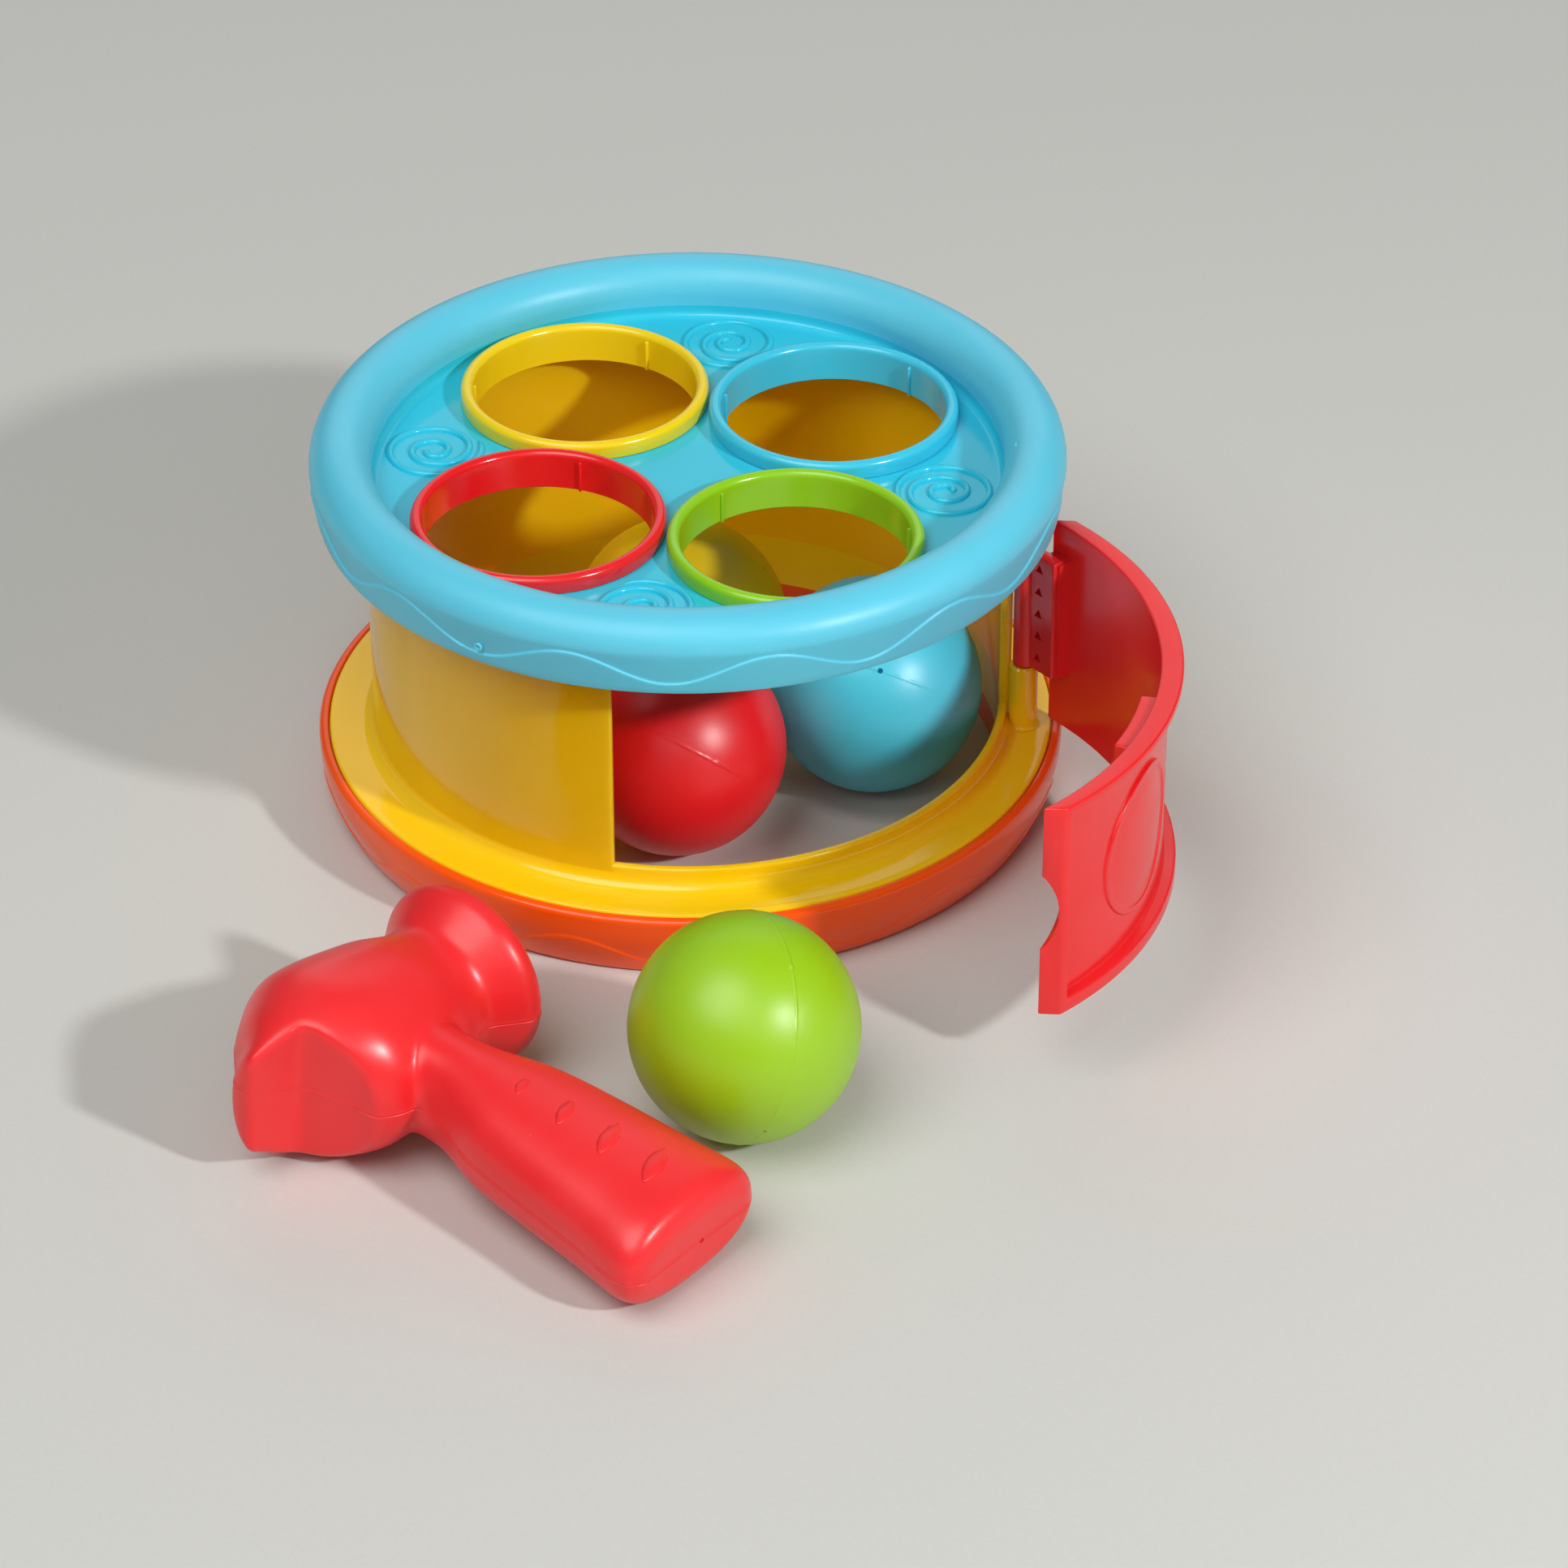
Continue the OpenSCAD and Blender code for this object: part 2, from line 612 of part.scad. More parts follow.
module hammer_grip() {
    swell_w = grip_root + 0.55 * (grip_butt - grip_root);
    flare_w = grip_root + 0.88 * (grip_butt - grip_root);
    half_w = [[0, grip_root], [0.26 * grip_l, grip_root], [0.47 * grip_l, swell_w], [0.83 * grip_l, flare_w],
        [butt_share * grip_l, grip_butt], [grip_l, 0.84 * grip_butt]];
    half_h = [[0, grip_h], [0.7 * grip_l, 1.06 * grip_h], [butt_share * grip_l, grip_h],
        [grip_l, 0.66 * grip_h]];
    bend = [[0, -grip_bend], [0.5 * grip_l, 0], [grip_l, -0.8 * grip_bend]];
    skin([for (i = [0 : grip_steps]) let (s = grip_l * i / grip_steps)
        [for (j = [0 : loft_sides - 1]) let (a = 360 * j / loft_sides, c = cos(a), d = sin(a))
            [along(bend, s) + along(half_w, s) * sign(c) * pow(abs(c), grip_square), -s,
                along(half_h, s) * sign(d) * pow(abs(d), grip_square)]]]);
}

// Space beside the claw, from its crease out past the tip
module claw_notch() {
    far_x = -claw_x - claw_soft;
    far_y = -head_w - claw_soft;
    translate([0, 0, -face_r]) linear_extrude(2 * face_r)
        polygon([[-crease_x, -crease_y], [far_x, claw_tip_y + crease_y], [far_x, far_y],
            [-0.75 * crease_x, far_y]]);
}

module hammer() {
    hammer_at = at(base_r + hammer_gap, hammer_place) + [0, 0, face_r];
    color(red) translate(hammer_at) rotate([0, 0, hammer_turn]) rotate([hammer_tilt, 0, 0]) {
        difference() {
            hammer_head();
            claw_notch();
        }
        hammer_grip();
    }
}

top_tray();
ring_green();
ring_blue();
ring_yellow();
ring_red();
drum_wall();
base_ring();
base_screws();
door();
ball_red();
ball_blue();
ball_yellow();
ball_green();
hammer();
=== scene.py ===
import bpy, bmesh, json
from math import sin, cos, pi, radians, degrees, sqrt, asin, atan2, hypot, exp, copysign
from mathutils import Vector, Matrix


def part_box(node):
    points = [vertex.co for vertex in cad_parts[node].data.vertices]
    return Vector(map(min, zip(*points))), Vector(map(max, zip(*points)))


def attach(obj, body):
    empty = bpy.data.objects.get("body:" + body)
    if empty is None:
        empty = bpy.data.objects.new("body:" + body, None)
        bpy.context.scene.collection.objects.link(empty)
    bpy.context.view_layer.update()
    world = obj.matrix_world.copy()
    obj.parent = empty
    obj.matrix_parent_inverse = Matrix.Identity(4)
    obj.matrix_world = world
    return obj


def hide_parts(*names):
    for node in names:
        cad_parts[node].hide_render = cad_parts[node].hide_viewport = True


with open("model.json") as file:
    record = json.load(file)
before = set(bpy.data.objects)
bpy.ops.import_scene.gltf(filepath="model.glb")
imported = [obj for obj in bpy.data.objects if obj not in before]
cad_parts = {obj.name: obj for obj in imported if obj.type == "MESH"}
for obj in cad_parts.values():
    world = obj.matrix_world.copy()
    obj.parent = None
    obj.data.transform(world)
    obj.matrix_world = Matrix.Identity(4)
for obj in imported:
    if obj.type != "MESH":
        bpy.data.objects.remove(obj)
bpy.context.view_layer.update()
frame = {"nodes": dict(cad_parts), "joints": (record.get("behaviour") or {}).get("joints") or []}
scene = bpy.context.scene
mm = 0.001
upAxis = Vector((0, 0, 1))
print("frame loaded:", len(frame["nodes"]), "nodes")


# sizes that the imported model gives, in mm
def sizeOf(node):
    low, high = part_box(node)
    return low / mm, high / mm


wallLow, wallHigh = sizeOf("drum_wall")
ringLow, ringHigh = sizeOf("ring_blue")
ballLow, ballHigh = sizeOf("ball_green")
trayTop, pinTop = sizeOf("top_tray")[1].z, sizeOf("door")[1].z
hinge = next(j for j in frame["joints"] if j["name"] == "door_swing")
hingeX, hingeY = (v / mm for v in hinge["pos_m"][:2])
doorOpen = -hinge["range_deg"][0]
flangeR, wallTop = wallHigh.x, wallHigh.z
lipR = (ringHigh.y - ringLow.y) / 2
collarC = (ringLow.x + ringHigh.x) / 2
ballR = (ballHigh.z - ballLow.z) / 2
drum = dict(wall=1.8, flangeWide=9.4, flangeTop=15.2, flangeThick=2.0, foot=wallLow.z, cove=3.0, sill=4.6,
            headBand=3.0, doorFrom=-139, doorTo=-41, step=2, rows=12, flangeEdge=0.5, topEdge=0.3,
            brinkSoft=0.55, beadProud=0.7, beadInset=0.35, hingeFoot=14.8, hingePlay=0.4)
wallOut = flangeR - drum["flangeWide"]
wallIn = wallOut - drum["wall"]


# small helpers for places, sections and meshes

def moved(x, y, z):  # in mm
    return Matrix.Translation((x * mm, y * mm, z * mm))


def turnedBy(angle, axis):  # in degrees
    return Matrix.Rotation(radians(angle), 4, axis)


def sizedTo(x, y, z):  # a unit shape becomes this large, in mm
    return Matrix.Diagonal((x * mm, y * mm, z * mm, 1))


def around(r, angle):  # x and y of a point r away from the middle
    return r * cos(radians(angle)), r * sin(radians(angle))


def angleOf(v):
    return degrees(atan2(v.y, v.x))


def arc(cx, cz, r, a0, a1, n):
    turns = [radians(a0 + (a1 - a0) * i / n) for i in range(n + 1)]
    return [(cx + r * cos(t), cz + r * sin(t)) for t in turns]


def ladder(a, b, n):  # straight run of points, without its first
    return [(a[0] + (b[0] - a[0]) * i / n, a[1] + (b[1] - a[1]) * i / n) for i in range(1, n + 1)]


def alongCurve(stops, x):  # smooth run through (place, value) stops, without overshoot
    n = len(stops)
    cut = [(stops[i + 1][1] - stops[i][1]) / (stops[i + 1][0] - stops[i][0]) for i in range(n - 1)]
    lean = [cut[0]] + [2 * a * b / (a + b) if a * b > 0 else 0 for a, b in zip(cut, cut[1:])] + [cut[-1]]
    i = max(k for k in range(n - 1) if k == 0 or x >= stops[k][0])
    w = stops[i + 1][0] - stops[i][0]
    t = (x - stops[i][0]) / w
    return ((1 + 2 * t) * (1 - t) ** 2 * stops[i][1] + t * (1 - t) ** 2 * w * lean[i]
            + t * t * (3 - 2 * t) * stops[i + 1][1] - t * t * (1 - t) * w * lean[i + 1])


def vertsOf(geom):
    return [g for g in geom if isinstance(g, bmesh.types.BMVert)]


def edgesOf(geom):
    return [g for g in geom if isinstance(g, bmesh.types.BMEdge)]


def edgesRound(verts):
    return list({e for v in verts for e in v.link_edges})


def sharpEdges(bm, angle):
    return [e for e in bm.edges if e.is_manifold and e.calc_face_angle(0) > radians(angle)]


def spinSection(bm, points, steps, at=(0, 0), start=0.0, sweep=360.0, closed=True):
    across = around(1, start)
    verts = []
    for r, z in points:
        verts.append(bm.verts.new(((at[0] + r * across[0]) * mm, (at[1] + r * across[1]) * mm, z * mm)))
    pairs = list(zip(verts, verts[1:])) + ([(verts[-1], verts[0])] if closed else [])
    edges = [bm.edges.new(p) for p in pairs]
    whole = sweep == 360.0
    made = bmesh.ops.spin(bm, geom=verts + edges, cent=(at[0] * mm, at[1] * mm, 0), axis=upAxis,
                          angle=radians(sweep), steps=steps, use_merge=whole)
    if closed and not whole:  # both ends get a face
        bmesh.ops.contextual_create(bm, geom=edges)
        bmesh.ops.contextual_create(bm, geom=edgesOf(made["geom_last"]))


def ringAt(bm, place, sides, squared=1.0):  # unit ring across the local y axis, put at its place
    verts = bmesh.ops.create_circle(bm, segments=sides, radius=1.0, matrix=turnedBy(90, "X"))["verts"]
    for v in verts:
        v.co.x, v.co.z = (copysign(abs(c) ** squared, c) for c in (v.co.x, v.co.z))
    bmesh.ops.transform(bm, matrix=place, verts=verts)
    return edgesRound(verts)


def sweepRing(bm, loop, places):  # each ring is extruded from the one before, and the ends are closed
    first = loop
    for a, b in zip(places, places[1:]):
        grown = bmesh.ops.extrude_edge_only(bm, edges=loop)["geom"]
        verts = vertsOf(grown)
        held = set(verts)
        loop = [e for e in edgesOf(grown) if e.verts[0] in held and e.verts[1] in held]
        bmesh.ops.transform(bm, matrix=b @ a.inverted(), verts=verts)
    bmesh.ops.contextual_create(bm, geom=first)
    bmesh.ops.contextual_create(bm, geom=loop)


def sliceAt(bm, x):  # adds an edge loop across the mesh
    bmesh.ops.bisect_plane(bm, geom=bm.verts[:] + bm.edges[:] + bm.faces[:], plane_co=(x * mm, 0, 0),
                           plane_no=(1, 0, 0))


def tidyMesh(bm):
    bmesh.ops.remove_doubles(bm, verts=bm.verts, dist=2e-6)
    bmesh.ops.recalc_face_normals(bm, faces=bm.faces)


def bevelEdges(bm, edges, wide, segments=3):
    bmesh.ops.bevel(bm, geom=edges, offset=wide * mm, segments=segments, profile=0.5, affect="EDGES",
                    material=-1, clamp_overlap=True)


def joinInto(bm, part):  # the part's own bmesh is used up
    mesh = bpy.data.meshes.new("joinedPart")
    part.to_mesh(mesh)
    part.free()
    bm.from_mesh(mesh)
    bpy.data.meshes.remove(mesh)


def newObject(name, bm):
    mesh = bpy.data.meshes.new(name)
    bm.to_mesh(mesh)
    bm.free()
    obj = bpy.data.objects.new(name, mesh)
    scene.collection.objects.link(obj)
    return obj


def applyModifiers(obj):
    mesh = bpy.data.meshes.new_from_object(obj.evaluated_get(bpy.context.evaluated_depsgraph_get()))
    obj.modifiers.clear()
    old, obj.data = obj.data, mesh
    bpy.data.meshes.remove(old)


def cutWith(obj, cutterBm, kind="DIFFERENCE"):  # boolean, applied
    tidyMesh(cutterBm)
    cutter = newObject("cutter", cutterBm)
    mod = obj.modifiers.new("cut", "BOOLEAN")
    mod.operation, mod.object, mod.solver = kind, cutter, "EXACT"
    applyModifiers(obj)
    bpy.data.meshes.remove(cutter.data)


def finishPiece(obj, body, materials, nodes=(), sharp=38):
    for m in materials:
        obj.data.materials.append(m)
    obj.data.polygons.foreach_set("use_smooth", [True] * len(obj.data.polygons))
    obj.data.set_sharp_from_angle(angle=radians(sharp))
    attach(obj, body)
    if nodes:
        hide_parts(*nodes)
    print("piece", obj.name, len(obj.data.polygons), "faces")


# materials: moulded plastics with a fine mould grain, cloudy colour, specks and scuffs
mould = dict(cloudScale=34.0, spread=0.012, streakScale=130.0, streakTurn=(0.5, 0.3, 0.7),
             streakLong=(1.0, 14.0, 1.0), scuffShow=0.22, speckScale=240.0, speckR=0.025, dust=0.25,
             dullScale=75.0, swellScale=120.0, swellHigh=0.6, bumpDeep=0.00006, ior=1.49,
             glowRadius=(1.0, 0.45, 0.05), glowDeep=0.006)


def linear(c):
    return tuple(((v / 255 + 0.055) / 1.055) ** 2.4 if v > 10 else v / 3294.6 for v in c) + (1,)


def paled(colour, keep, add):
    return tuple(min(1, c * keep + add) for c in colour[:3]) + (1,)


def plasticFinish(name, seen, rough, grain, grainSize=0.5, scuffs=0.10, shine=0.4, glow=0.0):
    m = mould
    mat = bpy.data.materials.new(name)
    mat.use_nodes = True
    tree = mat.node_tree
    tree.nodes.clear()

    def node(kind, **inputs):
        made = tree.nodes.new(kind)
        for key, value in inputs.items():
            made.inputs[key.replace("_", " ")].default_value = value
        return made

    def link(a, b):
        tree.links.new(a, b)

    def remap(src, a, b, c, d):
        made = node("ShaderNodeMapRange")
        for k, v in zip((1, 2, 3, 4), (a, b, c, d)):
            made.inputs[k].default_value = v
        link(src, made.inputs[0])
        return made.outputs[0]

    def blendColour(factor, first, second):
        made = tree.nodes.new("ShaderNodeMix")
        made.data_type = "RGBA"
        link(factor, made.inputs[0])
        for socket, value in ((made.inputs[6], first), (made.inputs[7], second)):
            if isinstance(value, tuple):
                socket.default_value = value
            else:
                link(value, socket)
        return made.outputs[2]

    def calc(operation, a, b):
        made = tree.nodes.new("ShaderNodeMath")
        made.operation = operation
        link(a, made.inputs[0])
        link(b, made.inputs[1])
        return made.outputs[0]

    coord = tree.nodes.new("ShaderNodeTexCoord").outputs["Object"]

    def clouds(scale, detail=2.0, along=coord):
        made = node("ShaderNodeTexNoise", Scale=scale, Detail=detail, Roughness=0.55)
        link(along, made.inputs["Vector"])
        return made.outputs["Fac"]

    base = linear(seen)
    deep = paled(base, 1 - 2.2 * m["spread"], 0)
    pale = paled(base, 1 - 0.9 * m["spread"], 0.9 * m["spread"])
    colour = blendColour(remap(clouds(m["cloudScale"], 3.0), 0.35, 0.65, 0, 1), deep, pale)
    # scuffs: long thin streaks that are a little paler and duller
    stretch = node("ShaderNodeMapping", Rotation=m["streakTurn"], Scale=m["streakLong"])
    link(coord, stretch.inputs["Vector"])
    scuff = remap(clouds(m["streakScale"], 3.0, stretch.outputs[0]), 0.70, 0.80, 0, m["scuffShow"] * scuffs)
    colour = blendColour(scuff, colour, paled(base, 0.7, 0.25))
    # dust: tiny pale dots in some of the cells
    dots = node("ShaderNodeTexVoronoi", Scale=m["speckScale"], Randomness=1.0)
    link(coord, dots.inputs["Vector"])
    some = remap(dots.outputs["Color"], 0.72, 0.76, 0, 1)
    dot = remap(dots.outputs["Distance"], m["speckR"], 1.8 * m["speckR"], m["dust"], 0)
    colour = blendColour(calc("MULTIPLY", some, dot), colour, paled(base, 0.6, 0.35))

    shader = node("ShaderNodeBsdfPrincipled", IOR=m["ior"], Specular_IOR_Level=shine)
    link(colour, shader.inputs["Base Color"])
    if glow:  # light that comes through a thin wall
        shader.inputs["Subsurface Weight"].default_value = glow
        shader.inputs["Subsurface Radius"].default_value = m["glowRadius"]
        shader.inputs["Subsurface Scale"].default_value = m["glowDeep"]
    worn = remap(clouds(m["dullScale"], 4.0), 0.3, 0.7, rough - 0.03, rough + 0.04)
    link(calc("ADD", worn, scuff), shader.inputs["Roughness"])
    fine = clouds(1000.0 / grainSize)
    broad = remap(clouds(m["swellScale"]), 0, 1, 0, m["swellHigh"])
    bump = node("ShaderNodeBump", Strength=grain, Distance=m["bumpDeep"])
    link(calc("ADD", fine, broad), bump.inputs["Height"])
    link(bump.outputs[0], shader.inputs["Normal"])
    out = tree.nodes.new("ShaderNodeOutputMaterial")
    link(shader.outputs[0], out.inputs["Surface"])
    return mat


ballSatin = dict(rough=0.38, grain=0.22, scuffs=0.3, shine=0.75)
wallGloss = dict(rough=0.12, grain=0.05, shine=0.5)
finishes = dict(
    trayGloss=plasticFinish("trayGlossBlue", (48, 199, 226), 0.13, grain=0.06),
    traySatin=plasticFinish("traySatinBlue", (95, 206, 233), 0.40, grain=0.50, grainSize=0.45, shine=0.5),
    ringGreen=plasticFinish("ringGlossGreen", (146, 208, 20), 0.20, grain=0.08, shine=0.6),
    ringBlue=plasticFinish("ringGlossBlue", (62, 202, 231), 0.20, grain=0.08, shine=0.6),
    ringYellow=plasticFinish("ringGlossYellow", (249, 215, 6), 0.22, grain=0.10, shine=0.6),
    ringRed=plasticFinish("ringGlossRed", (240, 26, 30), 0.18, grain=0.08, shine=0.6),
    wallYellow=plasticFinish("wallGlossYellow", (254, 207, 2), **wallGloss),
    # upright wall: real light through the thin wall, and a more orange yellow than the flange's, which is
    # painted shade
    wallThinPaintedShade=plasticFinish("wallThinPaintedShadeYellow", (255, 194, 0), glow=0.7, **wallGloss),
    baseOrange=plasticFinish("baseGlossOrange", (255, 86, 0), 0.15, grain=0.06, shine=0.4),
    doorRed=plasticFinish("doorGlossRed", (242, 30, 34), 0.22, grain=0.08, shine=0.55),
    ballRed=plasticFinish("ballSatinRed", (249, 12, 28), **ballSatin),
    ballBlue=plasticFinish("ballSatinBlue", (70, 211, 238), **ballSatin),
    ballYellow=plasticFinish("ballSatinYellow", (248, 208, 5), **ballSatin),
    ballGreen=plasticFinish("ballSatinGreen", (156, 205, 2), **ballSatin),
    hammerRed=plasticFinish("hammerSatinRed", (246, 36, 41), 0.33, grain=0.16, shine=0.6))


def noisedFinish(name, scale, dark, light):  # one fine noise runs between two tones
    mat = bpy.data.materials.new(name)
    mat.use_nodes = True
    tree = mat.node_tree
    shader = tree.nodes["Principled BSDF"]
    coord = tree.nodes.new("ShaderNodeTexCoord")
    noise = tree.nodes.new("ShaderNodeTexNoise")
    noise.inputs["Scale"].default_value = scale
    ramp = tree.nodes.new("ShaderNodeValToRGB")
    ramp.color_ramp.elements[0].color = dark
    ramp.color_ramp.elements[1].color = light
    tree.links.new(coord.outputs["Object"], noise.inputs["Vector"])
    tree.links.new(noise.outputs["Fac"], ramp.inputs["Fac"])
    tree.links.new(ramp.outputs["Color"], shader.inputs["Base Color"])
    return mat, shader, noise


screwSteel = dict(scale=700.0, dark=(0.42, 0.42, 0.43, 1), light=(0.70, 0.70, 0.71, 1))
screwDull = (0.22, 0.42)


def screwFinish():
    mat, shader, noise = noisedFinish("screwPlatedSteel", **screwSteel)
    shader.inputs["Metallic"].default_value = 1.0
    rough = mat.node_tree.nodes.new("ShaderNodeMapRange")
    rough.inputs[3].default_value, rough.inputs[4].default_value = screwDull
    mat.node_tree.links.new(noise.outputs["Fac"], rough.inputs[0])
    mat.node_tree.links.new(rough.outputs[0], shader.inputs["Roughness"])
    return mat


screws = frame["nodes"]["base_screws"]
screws.data.materials.clear()
screws.data.materials.append(screwFinish())
print("finishes made:", len(finishes) + 1)


# top tray: rolled rim, waved skirt, deck with four round holes
tray = dict(wall=1.8, rimR=6.4, lipHigh=3.8, fillet=1.4, plateR=62.8, holeR=25.0,
            holeTurns=(-90, 0, 90, 180), skirtDrop=4.8, skirtLean=1.6, footSoft=0.5, innerSoft=0.4,
            spigot=4.0, spigotThick=1.2, spigotPlay=0.1,
            waves=12, waveCrest=-113.3, waveHalf=3.0, waveProud=0.42, waveUp=0.8, steps=288,
            rowsAbove=(77.0, 76.2, 75.5, 74.9, 74.5), rowsBelow=(72.4, 71.6, 70.8, 70.0, 69.4),
            waveStep=((0.42, 0.0), (0.22, 0.06), (0.10, 0.20), (0.0, 0.62), (-0.12, 0.88), (-0.32, 1.0),
                      (-0.8, 1.0)))
deckZ = ringHigh.z - tray["lipHigh"]
deckR = wallIn
rimC = deckR + tray["rimR"]
rimOut = rimC + tray["rimR"]
rimZ = trayTop - tray["rimR"]
skirtZ = deckZ - tray["skirtDrop"]
waveMid = (skirtZ + rimZ) / 2 + tray["waveUp"]


def skirtAt(z):
    return rimOut - tray["skirtLean"] * (rimZ - z) / (rimZ - skirtZ)


def waveRows(bm, outAt, low, mid, high, slack, firm):  # outer rows follow the wave, most of all at mid
    for v in bm.verts:
        r, z = hypot(v.co.x, v.co.y) / mm, v.co.z / mm
        if r > outAt(z) - slack and low < z < high - 0.1:
            near = (z - low) / (mid - low) if z < mid else (high - z) / (high - mid)
            turn = radians(tray["waves"] * (angleOf(v.co) - tray["waveCrest"]))
            lift = tray["waveHalf"] * cos(turn) * min(1, near * firm)
            slide = (outAt(z + lift) - outAt(z)) / r
            v.co += Vector((v.co.x * slide, v.co.y * slide, lift * mm))


def trayBody():
    t, f, proud, soft = tray["wall"], tray["fillet"], tray["waveProud"], tray["footSoft"]
    underZ, foot = deckZ - t, skirtAt(skirtZ)
    outer = [(skirtAt(z), z) for z in tray["rowsAbove"]]
    outer += [(skirtAt(waveMid + up) + out * proud, waveMid + up) for up, out in tray["waveStep"]]
    outer += [(skirtAt(z) + proud, z) for z in tray["rowsBelow"]]
    outer += arc(foot + proud - soft, skirtZ + soft, soft, 0, -90, 4)
    outer += [(foot - t + tray["innerSoft"], skirtZ), (foot - t, skirtZ + tray["innerSoft"])]
    section = [(tray["plateR"], deckZ)] + arc(deckR - f, deckZ + f, f, -90, 0, 7)
    section += ladder((deckR, deckZ + f), (deckR, rimZ), 3)[:-1]
    section += arc(rimC, rimZ, tray["rimR"], 180, 0, 40) + outer
    section += arc(rimC, rimZ, tray["rimR"] - t, 0, 180, 16)
    spigotR, spigotZ = deckR - tray["spigotPlay"], underZ - tray["spigot"]
    section += [(deckR + t, underZ), (spigotR, underZ), (spigotR, spigotZ + 0.4), (spigotR - 0.3, spigotZ),
                (spigotR - tray["spigotThick"], spigotZ), (spigotR - tray["spigotThick"], underZ),
                (tray["plateR"], underZ)]
    bm = bmesh.new()
    spinSection(bm, section, tray["steps"], closed=False)
    bmesh.ops.remove_doubles(bm, verts=bm.verts, dist=2e-6)
    waveRows(bm, skirtAt, skirtZ + 0.6, waveMid, rimZ, slack=0.05, firm=1.12)

    # deck plates with holes, above and below, then the holes' walls
    for z, normal in ((deckZ, 1), (underZ, -1)):
        rim = [e for e in bm.edges if e.is_boundary and abs(e.verts[0].co.z - z * mm) < 1e-6]
        holes = []
        for a in tray["holeTurns"]:
            ring = bmesh.ops.create_circle(bm, segments=96, radius=tray["holeR"] * mm,
                                           matrix=moved(*around(collarC, a), z))["verts"]
            holes += edgesRound(ring)
        bmesh.ops.triangle_fill(bm, use_beauty=True, edges=rim + holes, normal=(0, 0, normal))
    brinks = [e for e in bm.edges if e.is_boundary]
    for a in tray["holeTurns"]:
        centre = Vector(around(collarC, a)) * mm
        pair = [e for e in brinks if (e.verts[0].co.xy - centre).length < (tray["holeR"] + 1) * mm]
        bmesh.ops.bridge_loops(bm, edges=pair)
    tidyMesh(bm)
    for face in bm.faces:  # satin on the rim and skirt, gloss on the deck
        c = face.calc_center_median() / mm
        face.material_index = 1 if c.z > deckZ + 2.5 or hypot(c.x, c.y) > rimC else 0
    return newObject("topTray", bm)


finishPiece(trayBody(), "drum", [finishes["trayGloss"], finishes["traySatin"]],
            ["top_tray"], sharp=50)

# spirals on the deck's corners: a bead swept along a run that opens in steps
spiral = dict(inFromRim=11.5, start=1.4, clear=0.9, turns=2.6, stepsTurn=44, half=0.74, high=0.76,
              sides=16, roundEnd=3, run=((0, 0), (0.29, 0.27), (0.48, 0.43), (0.58, 0.66), (0.68, 0.84),
                                         (0.80, 0.88), (1, 1)))


def spirals():
    s = spiral
    far = deckR - s["inFromRim"]
    cornerX, cornerY = around(far, 45)
    room = hypot(cornerX - collarC, cornerY) - lipR
    grow = room - s["half"] - s["clear"] - s["start"]
    last = round(s["turns"] * s["stepsTurn"])
    bm = bmesh.new()
    for corner in range(4):
        out = 45 + 90 * corner
        middle = moved(*around(far, out), deckZ) @ turnedBy(out, "Z")
        places = []
        for i in range(last + 1):
            r = s["start"] + grow * alongCurve(s["run"], i / last)
            ease = 1 - min(1, i / s["roundEnd"], (last - i) / s["roundEnd"])
            size = sqrt(max(0.03, 1 - ease * ease))  # rounded ends
            places.append(middle @ turnedBy(360 * i / s["stepsTurn"], "Z") @ moved(r, 0, 0)
                          @ sizedTo(s["half"] * size, 1, s["high"] * size))
        sweepRing(bm, ringAt(bm, places[0], s["sides"]), places)
    tidyMesh(bm)
    return newObject("deckSpirals", bm)


finishPiece(spirals(), "drum", [finishes["trayGloss"]], sharp=60)

# tray details: hinge boss under the rim and the little gate mark on the skirt
boss = dict(r=3.0, bore=1.8, core=0.4, pinLong=4.2, pinIn=5.0, pinPlay=0.4, edge=0.3, mouth=0.25,
            underRim=1.35)
gate = dict(turn=-157.8, z=72.6, proud=0.2, section=((0.0, 0.0), (0.9, 0.0), (1.0, 0.25), (0.75, 0.5),
                                                     (0.4, 0.4), (0.25, 0.15), (0.0, 0.15)))


def trayDetails():
    b, r, bore, edge = boss, boss["r"], boss["bore"], boss["edge"]
    lowZ, topZ = pinTop - b["pinLong"] + b["pinPlay"], trayTop - b["underRim"]
    section = [(bore, lowZ + edge), (bore + b["mouth"], lowZ), (r - edge, lowZ), (r, lowZ + edge), (r, topZ),
               (b["core"], topZ), (b["core"], lowZ + b["pinIn"]), (bore, lowZ + b["pinIn"])]
    bm = bmesh.new()
    spinSection(bm, section, 32, at=(hingeX, hingeY))
    mark = bmesh.new()
    spinSection(mark, gate["section"], 20)
    bmesh.ops.transform(mark, verts=mark.verts, matrix=turnedBy(gate["turn"], "Z")
                        @ moved(skirtAt(gate["z"]) + gate["proud"], 0, gate["z"]) @ turnedBy(90, "Y"))
    tidyMesh(mark)
    joinInto(bm, mark)
    tidyMesh(bm)
    return newObject("trayDetails", bm)


finishPiece(trayDetails(), "drum", [finishes["traySatin"]])

# collars: a round lip on a sleeve, with thin grip ribs down the bore
collar = dict(bore=23.4, sleeve=1.5, soft=0.3, clipTop=1.9, clipOut=0.45, clipEnd=3.5, play=0.02, steps=160,
              ribs=3, ribHigh=0.6, ribWide=0.65, ribDeep=1.4,
              rings=(("ring_green", -90, 94, "ringGreen", "green_plastic"),
                     ("ring_blue", 0, 10, "ringBlue", "blue_plastic"),
                     ("ring_yellow", 90, 21, "ringYellow", "yellow_plastic"),
                     ("ring_red", 180, 34, "ringRed", "red_plastic")))


